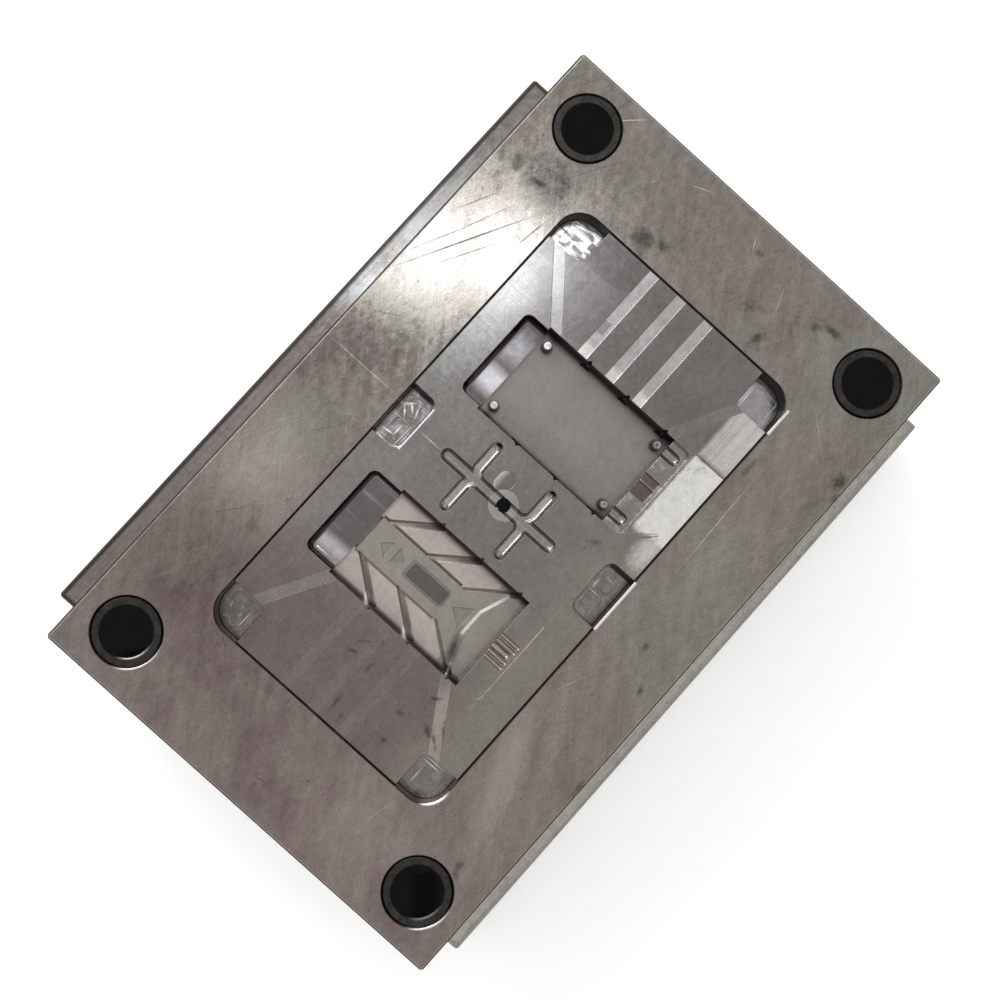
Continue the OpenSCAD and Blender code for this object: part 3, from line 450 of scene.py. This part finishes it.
def plateGlints(steel, joint, bush):            # light caught by the chamfers of bushes and pocket
    look = plateLook
    crescents = 0
    for x, y, rx, ry, turn, soft, amount in look["bushGlints"]:
        crescents = (steel.blob(x, y, rx, ry, turn, soft) * amount).top(crescents)
    crescents = crescents * steel.step(abs(bush - (part["bushRadius"] + 0.6)), 1.0, 0.5)
    middle, left, right = look["lowerGlintsX"]
    below = steel.step(steel.y, -75.2, -75.6) * steel.step(steel.y, -77, -76.4)
    below = below * (abs(steel.x) < middle).top(steel.x.between(left, right))
    corner = steel.blob(*look["cornerGlint"]) * steel.step(abs(joint - 0.5), 0.9, 0.5)
    return crescents.top(below.top(corner))


clampLook = {
    "ground": shown(119, 111, 108), "low": shown(152, 149, 141), "right": shown(119, 116, 113),
    "bright": shown(150, 150, 149), "dark": shown(84, 78, 74), "rust": shown(110, 97, 90),
    "rim": shown(40, 37, 35), "roughness": 0.2, "glare": (46, 137, 19, 30, 0, 0.9),
}


def clampFinish():
    steel = Finish("clamp_steel")
    look = clampLook
    grain, speckle, cloud = groundTexture(steel, 41)
    along = steel.noise(60, 1.2, 0, 2, 0.6, 47) - 0.5
    mottle = steel.noise(8, detail=3, rough=0.6, seed=49) - 0.5
    ledge = steel.step(steel.z, ledgeZ - 0.3, ledgeZ - 0.1)
    upper = ledge * (steel.y > 0)
    colour = steel.mix(ledge * (steel.y < 0), look["ground"], look["low"])
    colour = steel.mix(upper * steel.step(steel.x, 20, 66), colour, look["right"])
    colour = steel.mix(upper * steel.blob(*look["glare"], mottle), colour, look["bright"])
    colour = steel.mix(steel.step(cloud + mottle * 0.6, 0.02, 0.24, 0, 0.5), colour, look["rust"])
    marks = steel.step(steel.noise(2.2, detail=1, seed=51), 0.66, 0.74)
    colour = steel.mix(marks * 0.5, colour, look["dark"])
    colour = steel.tint(colour, 1 + grain * 0.4 + speckle * 0.5 + along * 0.6 + mottle * 0.4)
    # painted shade: a dark band along the clamp plate's outer edge, darkest along the upper edge and faint
    # along the lower
    rim = steel.step(steel.outside(part["clampHalf"]), -4, -1.6, 0, 0.95)
    rim = rim * steel.step(steel.y, -100, 100, 0.2, 1)
    colour = steel.mix(rim, colour, look["rim"])
    rough = look["roughness"] + cloud * 0.2 + speckle * 0.2
    below = steel.fromMirrored(part["bushCentre"]) < 17     # seen through the guide bushes
    # painted shade: where the ledge shows through the guide bushes it gets the near-black glow
    return steel.close(colour, rough, along, 0.5, paintedShade=below * ledge)


# Places on the insert in mm; the cavities lie at +-pitch, and depths count down from the parting face
insertLook = {
    "ground": shown(110, 106, 104), "left": shown(108, 98, 96), "middle": shown(118, 113, 111),
    "low": shown(123, 118, 111), "band": shown(126, 126, 124), "pad": shown(208, 207, 203),
    "padRight": shown(186, 183, 179), "vent": shown(166, 163, 161), "ventInner": shown(200, 199, 195),
    "ventLeft": shown(114, 105, 102), "slant": shown(140, 138, 135), "slantLeft": shown(146, 138, 133),
    "slantLow": shown(119, 116, 112), "floor": shown(120, 115, 112), "side": shown(160, 150, 146),
    "spine": shown(132, 126, 121), "markShade": shown(123, 118, 113), "window": shown(87, 83, 80),
    "edge": shown(66, 60, 57), "bay": shown(98, 94, 94), "bayWall": shown(88, 83, 82),
    "bayShine": shown(204, 202, 206), "notch": shown(112, 106, 102), "shine": shown(236, 236, 233),
    "lock": shown(148, 145, 146), "dark": shown(64, 58, 56), "seatBack": shown(124, 119, 115),
    "slot": shown(94, 85, 82), "seatFront": shown(141, 132, 127), "runner": shown(128, 124, 121),
    "arm": shown(150, 146, 143), "roughness": 0.19,
    "leftFade": (-60, -100), "rightFade": (70, 90), "lowFadeX": (40, 10), "lowFadeY": (-38, -60),
    "padTop": (-54.6, -56.4), "padLeft": (34, 39), "ventFrom": (83, 84), "ventFade": (92, 88),
    "straightHalf": 30, "slantFrom": 27, "spineFoot": (-26.6, -28), "markHalf": 10,
    "creaseWithin": (8.3, 12.4), "creaseFrom": -26, "lockWallX": (13.4, 14.6),
    "bandSpot": (56, 67, 52, 12, 0, 0.9), "padSpot": (32, -70, 13, 7, 0, 0.9), "padEnd": 84.6,
    "smears": ((30.5, -57, 40.5, -69, 3.2, 2.4), (76, -58, 84, -66, 2.6, 2.4)),
    "padRightBox": (86.4, -76, 118, -56.5, 3.4), "stainBox": (97.8, 20.6, 105.4, 25, 0.6),
    "besideBox": (2.5, 2.5, 15.5, 13, 0.2), "besideFloor": (2.5, 2.5, 15.5, 12.4, 0.3),
    "shadowStrip": (120, 56, 140, 22, 24, 0.6), "windowBox": (-59.6, -10.1, -51.4, 14.1, 0.3),
    "lipUpper": (-14.4, 57.9, 12.4, 59.3, 0.5), "lipRight": (118.4, -55.4, 134, -54.4, 0.4),
    "bayEndFront": 61.05, "bayEndBack": 56.45, "baySide": (23.6, 24.8),
    "bayShines": (
        (44.5, 50, 8, 34, 0, 0.8, 1.0), (-73.5, 50, 5, 30, 0, 0.9, 0.6), (64, 50, 9, 34, 0, 0.9, 0.4)),
    "cavityCornerShades": (
        (-83.2, -41.4, 3.6, 3.6), (-27.8, -41.4, 3.6, 3.6), (28.4, -41, 4, 5), (82.6, -41, 5, 7)),
    # painted light and shade among the tones: darkened spots where the lamps light the insert too brightly,
    # such as beside the sprue and on the left cavity's slope
    "shades": (
        (-25, 55, 18, 14, 0, 0.14), (-22, -25, 14, 24, 0, -0.04), (20, 40, 16, 22, 0, 0.1),
        (110, 45, 20, 14, 0, 0.12), (106, 46, 7, 6, 0, -0.14), (128, 0, 14, 30, 0, -0.08),
        (100, -38, 16, 10, 0, -0.1), (-125, -45, 16, 10, 0, 0.1), (-129, 64, 16, 16, 0, -0.3),
        (34, 2, 9, 60, 0, -0.12), (-71.5, -30.4, 10, 3, 21, -0.8), (96, 0, 14, 60, 0, -0.1),
        (0, 0, 24, 40, 0, -0.08)),
    "marks": (
        (-129, -3.5, 4.2, 1.3, 0, 0.9), (-133, -10, 3.4, 1.2, 0, 0.6), (-104, -4, 5, 1.4, 0, 0.5),
        (-92, -1, 2, 2, 0, 0.5), (-112, -31, 1.4, 3, 12, 0.75), (-127, -33.5, 2, 1.6, 0, 0.85),
        (-126, -21, 3, 1.4, 30, 0.45), (-104.5, 7, 1.3, 3.6, 15, 0.7), (-97, 6, 1, 4.5, 40, 0.5),
        (-109.5, -47, 1.5, 4, -38, 1.0), (-111, -53, 1.2, 6, -38, 0.7), (-104, -53, 0.8, 8, -52, 0.6),
        (-94.5, -40, 1.2, 3.4, 36, 0.8), (-72, -29, 0.9, 1, 0, 1.0),
        (17, -47, 2.4, 4.5, 30, 0.5), (12, -45, 3, 1.5, 0, 0.4), (84.5, -60, 1.4, 4, 10, 0.5),
        (52, 36.5, 4, 1.3, 0, 0.4)),
    "hairs": (
        (-0.6, 58, -0.4, 40, 0.7, 0.6), (-126, 62, -84, 44, 0.3, 0.2), (90, 22.8, 90, 19, 0.5, 0.8),
        (90.5, 3, 90.5, 0, 0.4, 0.6)),
    "ribEndHighlights": (
        (-86, 15.6, -79.4, 22.4, 2.4, 1.0), (-86.4, -10.8, -79.4, -3.4, 2.6, 1.0),
        (-86, -37, -76, -33.4, 1.6, 0.8)),
    "floorLines": (
        (-10.8, 73, -10.3, 66, 1.0, 0.9), (-10.3, 66.2, -4.6, 66, 1.0, 1.0),
        (-14.6, 62.6, -1.5, 62, 0.9, 0.8), (-14, 60.9, -1.6, 60.6, 0.7, 0.6),
        (-1.2, 73, -1.2, 60, 0.6, 0.5), (0, 68, 5, 72, 1.0, 0.9), (4, 66, 8.4, 70, 1.1, 0.9),
        (3, 63.5, 9.4, 66, 1.0, 0.8), (6, 72.4, 9.6, 68, 0.9, 0.8),
        (-1.4, -60, -1.4, -70, 0.7, 0.6), (-0.4, -62.3, 6.8, -62.4, 1.0, 0.7), (8.6, -63, 8.6, -71, 0.7, 0.4),
        (-12, -62, -12, -71, 0.7, 0.4), (-12, -61.8, -3.6, -61.8, 0.7, 0.4), (-3.4, -62, -3.4, -70, 0.5, 0.3),
        (-138, 59, -124, 58.6, 0.9, 0.6), (-136, 57, -125, 57, 0.7, 0.5), (-132, 68, -126, 70, 1.2, 0.3),
        (-133, 63, -128, 61, 1.2, 0.3), (-126, 66, -127, 61.5, 1.0, 0.3), (-138, -58.8, -125, -59, 0.8, 0.6),
        (-122.6, -56, -122.6, -68, 0.9, 0.7), (-120.6, -56, -120.6, -68, 0.7, 0.6),
        (122, -56.4, 134, -56.4, 0.9, 0.8), (119.8, -57, 119.8, -70, 0.9, 0.7)),
}


class InsertSteel(Finish):                      # with the noises and masks that the insert's areas share
    def __init__(self):
        super().__init__("insert_steel")
        self.grain, self.speckle, self.cloud = groundTexture(self, 71)
        self.streaks = brushMarks(self, 74)
        self.rag = self.noise(3.2, detail=3, rough=0.7, seed=75) - 0.5
        self.mottle = self.noise(10, detail=3, rough=0.6, seed=77) - 0.5
        self.facets = self.noise(3.6, 12, 4, 1, 0.5, 93, 0.8)
        self.depth = faceZ - self.z
        self.face = self.depth < 0.1
        self.sunk = self.depth > 0.6            # deeper than the vents
        self.right, self.upper = self.x > 0, self.y > 0
        self.inVent = self.depth.between(*part["ventDepths"])
        self.within = abs(abs(self.x) - part["pitch"])      # distance from a cavity's middle line
        halfL = part["cavityHalf"][1]
        reachX, reachY = part["cavityReach"]
        self.cavity = (self.within < reachX) * (abs(self.y) < reachY) * self.sunk
        self.inBay = self.step(self.y, halfL - 0.1, halfL + 0.1)
        self.seat = self.cavity * self.step(self.y, -halfL + 0.1, -halfL - 0.1)
        notchX, notchY = part["notchFrom"]
        lockX, lockY = part["lockFrom"]
        self.notch = (abs(self.x) > notchX) * (abs(self.y) > notchY) * self.sunk
        self.lock = (abs(self.x) < lockX) * (abs(self.y) > lockY) * self.sunk
        self.deep = (self.notch + self.lock) * (self.depth > part["pocketFloor"])


def insertFace(steel, look):                    # ground parting face with its pale pads
    low = steel.step(steel.x, *look["lowFadeX"]) * steel.step(steel.y, *look["lowFadeY"])
    colour = steel.mix(steel.step(steel.x, *look["leftFade"]), look["middle"], look["left"])
    colour = steel.mix(steel.step(steel.x, *look["rightFade"]), colour, look["ground"])
    colour = steel.mix(low, colour, look["low"])
    upright = steel.noise(0.9, 50, 0, 2, 0.6, 79)
    band = steel.blob(*look["bandSpot"]) * steel.step(upright, 0.3, 0.6, 0.45, 1.0)
    colour = steel.mix(band, colour, look["band"])
    pad = steel.step(steel.y + steel.rag * 1.6, *look["padTop"]) * (steel.x < look["padEnd"])
    pad = pad * steel.step(steel.x + steel.rag * 5, *look["padLeft"])
    pad = pad.top(steel.blob(*look["padSpot"], steel.rag) * 0.7)
    firstSmear, secondSmear = [steel.strip(*place) for place in look["smears"]]
    smear = firstSmear * steel.step(steel.noise(9, 0.8, -50, 2, 0.6, 85), 0.42, 0.56)
    smear = smear.top(secondSmear * steel.step(steel.rag, -0.05, 0.12) * 0.5)
    colour = steel.mix(pad * (1 - smear), colour, look["pad"])
    lengthwise = steel.noise(60, 1.2, 0, 2, 0.6, 83)
    padRight = steel.panel(*look["padRightBox"]) * steel.step(lengthwise, 0.36, 0.6, 0.72, 1)
    return steel.mix(padRight, colour, look["padRight"])


def insertVents(steel, look, colour):           # straight and slanting vents, and the pad by the sprue
    straight = steel.step(abs(steel.x), *look["ventFrom"]) * (abs(steel.y) < look["straightHalf"])
    stain = steel.panel(*look["stainBox"]) * steel.step(steel.mottle, -0.2, 0.1, 0.6, 1)
    inner = steel.step(steel.x + steel.mottle * 6, *look["ventFade"])
    ventRight = steel.mix(inner, look["vent"], look["ventInner"])
    ventTone = steel.mix(steel.right, look["ventLeft"], ventRight)
    colour = steel.mix(straight * steel.inVent, colour, ventTone)
    colour = steel.mix(stain * 0.7, colour, look["ground"])
    slantRight = steel.mix(steel.upper, look["slantLow"], look["slant"])
    slantLeft = steel.mix(steel.step(steel.x + steel.y, -138, -120), look["slantLeft"], look["low"])
    slants = steel.inVent * (abs(steel.y) > look["slantFrom"])
    colour = steel.mix(slants, colour, steel.mix(steel.right, slantLeft, slantRight))
    beside = steel.inVent * steel.panel(*look["besideBox"])
    beside = beside.top(steel.panel(*look["besideFloor"]) * steel.depth.between(0.3, 0.5))
    # painted highlight: the shallow pocket beside the sprue is painted lighter towards its upper edge
    besideHighlight = steel.mix(steel.step(steel.y, 7.5, 12.5), look["ground"], look["padRight"])
    colour = steel.mix(beside, colour, besideHighlight)
    shadow = steel.strip(*look["shadowStrip"]) * (steel.x > 120) * steel.upper
    return steel.mix(shadow * steel.face * 0.22, colour, look["dark"])


def insertWear(steel, look, colour):            # stains and fine scratches
    colour = steel.mix(blotches(steel, look["marks"], steel.rag) * 0.8, colour, look["dark"])
    colour = steel.mix(scratches(steel, look["hairs"]), colour, look["pad"])
    return steel.mix(hairlines(steel, 87, (4, 88)) * steel.face * 0.05, colour, look["pad"])


def insertRunner(steel, look, colour):
    reachX, reachY = part["runnerReach"]
    runner = (abs(steel.x) < reachX) * (abs(steel.y) < reachY) * (steel.depth > 0.5)
    return steel.mix(runner, colour, steel.mix(steel.step(abs(steel.x), 3, 6), look["runner"], look["arm"]))


def cavityFloor(steel, look):                   # side panels, spine, window, and painted shade and highlights: round the pins' feet, along walls, creases and corners, and at the rib ends
    halfW, halfL = part["cavityHalf"]
    cavityDepth, front = part["cavityDepth"], steel.x < 0
    floor = steel.mix(steel.right, look["side"], look["floor"])
    spine = (steel.depth > cavityDepth + 0.4).top(steel.step(steel.y, *look["spineFoot"])) * front
    floor = steel.mix(spine, floor, look["spine"])
    # painted shade: the marks sunk below the spine are painted a little darker
    markShade = (steel.depth > cavityDepth + 1.1) * (steel.within < look["markHalf"]) * front
    floor = steel.mix(markShade, floor, look["markShade"])
    window = steel.panel(*look["windowBox"]) * steel.depth.between(cavityDepth - 0.5, cavityDepth + 0.4)
    floor = steel.mix(window, floor, look["window"])
    spreadX, spreadY = part["pinSpread"]
    # painted shadow: a dark ring round the feet of the pins in the right cavity
    fromPin = steel.length(abs(steel.x - part["pitch"]) - spreadX, abs(steel.y) - spreadY)
    floor = steel.mix(steel.step(fromPin, 4.2, 2.4, 0, 0.85) * steel.right, floor, look["edge"])
    # painted shade: darker along the cavity's side walls and, more faintly, towards its ends
    endWallShade = steel.step(abs(steel.y), halfL - 2.4, halfL)
    side = steel.step(steel.within, halfW - 5, halfW - 0.8, 0, 0.9)
    floor = steel.mix(side.top(endWallShade * 0.4), floor, look["edge"])
    # painted shade: the shallow slopes either side of the front cavity's middle are painted darker
    creaseShade = steel.within.between(*look["creaseWithin"]) * (steel.y > look["creaseFrom"]) * front
    creaseShade = creaseShade * steel.depth.between(cavityDepth + 0.06, cavityDepth + 0.94)
    floor = steel.mix(creaseShade * 0.5, floor, look["edge"])
    # painted shade: dark spots in the cavities' lower corners
    corners = 0
    for place in look["cavityCornerShades"]:
        corners = steel.blob(*place).top(corners)
    floor = steel.mix(corners * 0.8, floor, look["edge"])
    # painted highlight: light strokes where the ribs meet the outer wall
    return steel.mix(scratches(steel, look["ribEndHighlights"]), floor, look["shine"])


def cavityBay(steel, look):                     # polished end bays, with painted reflections and painted shade along their walls
    # painted reflection: bright upright streaks and bands on the polished floor
    shine = 0
    for *place, amount in look["bayShines"]:
        shine = (steel.blob(*place) * amount).top(shine)
    reflectionBands = steel.noise(5.5, 60, 0, 1, 0.5, 89)
    bay = steel.mix(shine.top(steel.step(reflectionBands, 0.55, 0.8, 0, 0.25)), look["bay"], look["bayShine"])
    shorter = look["bayEndFront"] - look["bayEndBack"]
    end = steel.y - look["bayEndFront"] + steel.right * shorter
    # painted shade: darker along the bay's side and end walls
    wallShade = steel.step(steel.within, *look["baySide"]).top(steel.step(end, -3.2, -2.2))
    return steel.mix(wallShade, bay, look["bayWall"])


def cavitySeat(steel, look):                    # shut-off faces with the cable slots
    back = steel.mix(steel.step(steel.rag + steel.mottle, 0.0, 0.2), look["seatBack"], look["arm"])
    # painted shade: the deep parts of the cable slots are painted darker
    back = steel.mix((steel.depth > 5) * (steel.within < 12), back, look["slot"])
    return steel.mix(steel.right, look["seatFront"], back)


def insertPockets(steel, look, colour):         # interlock pockets with their milled floors
    swirl = steel.noise(7, detail=1, seed=91, wavy=1.6)
    milled = steel.mix(steel.step(swirl, 0.4, 0.68), look["notch"], look["lock"])
    faceted = steel.mix(steel.step(steel.facets, 0.38, 0.58), look["notch"], look["ventInner"])
    colour = steel.mix(steel.notch.top(steel.lock), colour, steel.mix(0.3, look["notch"], milled))
    colour = steel.mix(steel.lock * steel.upper, colour, milled)
    colour = steel.mix(steel.notch * steel.right * steel.upper, colour, faceted)
    lowerRight = steel.notch * steel.right * (steel.y < 0)
    colour = steel.mix(lowerRight, colour, steel.mix(0.75, milled, look["lock"]))
    # painted highlight: bright lines along the lower edge of the upper lock pocket and an edge of the lower
    # right notch
    lipHighlight = steel.panel(*look["lipUpper"]) * (steel.depth < 4)
    colour = steel.mix(lipHighlight.top(steel.panel(*look["lipRight"]) * 0.5), colour, look["shine"])
    return steel.mix(scratches(steel, look["floorLines"]) * steel.deep, colour, look["shine"])


def insertFinish():
    steel = InsertSteel()
    look = insertLook
    colour = insertFace(steel, look)
    for layOver in (insertVents, insertWear, insertRunner):
        colour = layOver(steel, look, colour)
    floor = steel.mix(steel.inBay, cavityFloor(steel, look), cavityBay(steel, look))
    floor = steel.mix(steel.seat, floor, cavitySeat(steel, look))
    colour = insertPockets(steel, look, steel.mix(steel.cavity, colour, floor))
    matt = steel.cavity * (1 - steel.inBay) * (1 - steel.seat)
    level = toneAndPaintedLight(steel, look["shades"]) + steel.grain * 0.36 + steel.speckle * 0.3 + steel.mottle * 0.3 \
        + steel.streaks * (1 - steel.cavity) * 0.5
    colour = steel.tint(colour, level)
    joint = steel.rounded(*part["insertHalf"], part["insertCorner"])
    colour = steel.mix(steel.step(joint, -0.9, -0.4) * (steel.depth < 0.8), colour, look["edge"])
    rough = look["roughness"] + matt * 0.26 - steel.cavity * steel.inBay * 0.07 + steel.deep * 0.04 \
        + steel.cloud * 0.14 + steel.speckle * 0.12
    height = steel.speckle * 0.3 + steel.grain * matt * 0.6 + steel.facets * steel.deep * 6
    sharp = steel.inVent * (steel.x < -83).top(steel.y < -30)
    # painted shade: the right walls of the lock pockets and the walls of the right notches get the near-black
    # glow
    lockWallShade = steel.step(abs(steel.x), *look["lockWallX"]) * steel.lock * steel.right
    notchWallShade = (steel.depth < part["pocketFloor"]) * steel.notch * steel.right * 0.6
    return steel.close(colour, rough, height, 0.45, paintedShade=lockWallShade.top(notchWallShade) * 0.8, sharp=sharp)


bushLook = {
    "rim": (0.05, 0.044, 0.04, 1), "bore": (0.03, 0.03, 0.031, 1), "boreRadius": 13.6,
    "glint": shown(130, 128, 126),
    "glints": ((-178, 86, 9, 6, -30, 0.6, 1.0), (-178, -108, 9, 6, -30, 0.6, 0.6)),
}


def bushFinish():
    steel = Finish("bush_steel")
    look = bushLook
    bore = look["boreRadius"]
    grain = steel.noise(0.8, detail=2, rough=0.6, seed=101) - 0.5
    cloud = steel.noise(5, detail=3, rough=0.6, seed=103) - 0.5
    radius = steel.fromMirrored(part["bushCentre"])
    rim = steel.step(radius, bore, bore + 0.6) * steel.step(radius, 17.2, 16.4, 0.15, 1)
    colour = steel.mix(rim * (steel.z > faceZ - 1.5), look["bore"], look["rim"])
    colour = steel.tint(colour, 1 + grain * 1.6 + cloud * 1.4)
    glint = 0
    for *place, amount in look["glints"]:
        glint = (steel.blob(*place) * amount).top(glint)
    colour = steel.mix(glint * steel.step(abs(radius - 13.4), 0.7, 0.2), colour, look["glint"])
    # painted shade: the bore gets the near-black glow inside the mouth, except where the glint is
    deep = steel.step(radius, bore + 0.2, bore - 0.4) * (1 - glint)
    return steel.close(colour, 0.3 + cloud * 0.3, grain, 0.5, distance=0.01, paintedShade=deep)


def turnedFinish(name, colour, roughness, ring=0.5, seed=0, inside=None):    # lathe rings round the middle
    steel = Finish(name)
    radius = steel.length(steel.x, steel.y)
    rings = steel.node("ShaderNodeTexNoise", {"noise_dimensions": "1D"}, {
        "W": radius / ring, "Scale": 1, "Detail": 2})
    cloud = steel.noise(9, detail=3, seed=seed) - 0.5
    grain = steel.noise(0.9, detail=2, seed=seed + 1) - 0.5
    dark = None
    if inside:                                  # painted shade: a bore painted black below this radius and depth
        darkRadius, darkZ = inside
        dark = (radius < darkRadius) * steel.step(steel.z, darkZ + 0.6, darkZ - 0.6)
    shade = steel.tint(colour, 1 + (rings - 0.5) * 0.3 + cloud * 0.5 + grain * 0.2)
    return steel.close(shade, roughness + cloud * 0.25, rings, 0.3, distance=0.01, paintedShade=dark)


pinLook = {"top": shown(190, 188, 186), "rim": shown(60, 55, 52), "lowerShade": 0.5}


def pinFinish():                                # core pins, with painted shade: a dark ring at the rim, and the lower pins painted darker with a dark middle
    steel = Finish("pin_steel")
    look = pinLook
    cloud = steel.noise(2, detail=2, seed=141) - 0.5
    spreadX, spreadY = part["pinSpread"]
    radius = steel.length(abs(steel.x - part["pitch"]) - spreadX, abs(steel.y) - spreadY)
    # painted shade: the pins on the lower side are painted darker
    low = steel.step(steel.y, 10, -10)
    colour = steel.tint(look["top"], 1 + cloud * 1.2 - low * look["lowerShade"])
    # painted shade: a dark ring round each pin's top and a dark middle on the lower pins
    middle = steel.step(radius, 1.1, 0.5, 0, 0.6) * low
    colour = steel.mix(steel.step(radius, 1.7, 2.1, 0, 0.9).top(middle), colour, look["rim"])
    return steel.close(colour, 0.16 + cloud * 0.2, cloud, 0.3, distance=0.01)


def plainFinish(name, colour, roughness, metallic=1, seed=0):
    steel = Finish(name)
    grain = steel.noise(0.5, detail=2, seed=seed) - 0.5
    cloud = steel.noise(4.5, detail=3, seed=seed + 1) - 0.5
    shade = steel.tint(colour, 1 + cloud * 0.3 + grain * 0.2)
    return steel.close(shade, roughness + cloud * 0.2, grain, 0.25, metallic, 0.01)


finishes = {
    "plate_steel": plateFinish(),
    "clamp_steel": clampFinish(),
    "insert_steel": insertFinish(),
    "bush_steel": bushFinish(),
    "sprue_steel": turnedFinish(
        "sprue_steel", shown(142, 138, 134), 0.2, seed=111, inside=(3.72, faceZ - 3.2)),
    "ring_steel": turnedFinish("ring_steel", shown(165, 163, 161), 0.28, 0.8, seed=121),
    "screw_steel": plainFinish("screw_steel", (0.03, 0.03, 0.032, 1), 0.4, seed=131),
    "pin_steel": pinFinish(),
    "seal_rubber": plainFinish("seal_rubber", (0.012, 0.012, 0.012, 1), 0.6, 0, seed=151),
    "plug_brass": plainFinish("plug_brass", (0.6, 0.42, 0.17, 1), 0.32, seed=161),
}
for piece in frame["record"]["subparts"]:
    mesh = nodes[piece["node"]].data
    mesh.materials.clear()
    mesh.materials.append(finishes[piece["material_slot"]])
print("finishes laid on")


# Threads in the holes of the long sides

threads = {                                     # at, outwards, radius, pitch, length (mm)
    "eye_thread_upper": ((0, 125, 75), (0, 1, 0), 7.0, 2.0, 27),
    "eye_thread_lower": ((0, -125, 75), (0, -1, 0), 7.0, 2.0, 27),
    "port_thread_1": ((-65.5, -125, 52.5), (0, -1, 0), 5.9, 1.337, 14),
    "port_thread_2": ((-45.5, -125, 52.5), (0, -1, 0), 5.9, 1.337, 14),
    "port_thread_3": ((45.5, -125, 52.5), (0, -1, 0), 5.9, 1.337, 14),
    "port_thread_4": ((65.5, -125, 52.5), (0, -1, 0), 5.9, 1.337, 14),
}


def cutThread(name, at, outwards, radius, pitch, length, steps=40):    # a ridge that fades at its ends
    axis = Vector(outwards)
    across = Vector((1, 0, 0))
    up = axis.cross(across)
    profile = ((0.05, -0.4), (-0.45, -0.05), (-0.45, 0.05), (0.05, 0.4))     # outwards, along, in pitches
    points, faces = [], []
    count = int(length / pitch * steps)
    for i in range(count + 1):
        turn = 2 * math.pi * i / steps
        out = across * math.cos(turn) + up * math.sin(turn)
        base = Vector(at) - axis * (0.8 + pitch * i / steps)
        fade = min(1, i / (steps / 2), (count - i) / (steps / 2))
        for reach, along in profile:
            depth = 0.05 + (reach - 0.05) * fade
            points.append((base + out * (radius + depth * pitch) + axis * (along * pitch)) * mm)
    for i in range(count):
        for k in range(4):
            a, b = 4 * i + k, 4 * i + (k + 1) % 4
            faces.append((a, b, b + 4, a + 4))
    faces += [(3, 2, 1, 0), tuple(4 * count + k for k in range(4))]
    mesh = bpy.data.meshes.new(name)
    mesh.from_pydata(points, [], faces)
    mesh.update()
    thread = bpy.data.objects.new(name, mesh)
    mesh.materials.append(finishes["plate_steel"])
    scene.collection.objects.link(thread)
    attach(thread, "root")


for name, (at, outwards, radius, pitch, length) in threads.items():
    cutThread(name, at, outwards, radius, pitch, length)
print("threads cut")
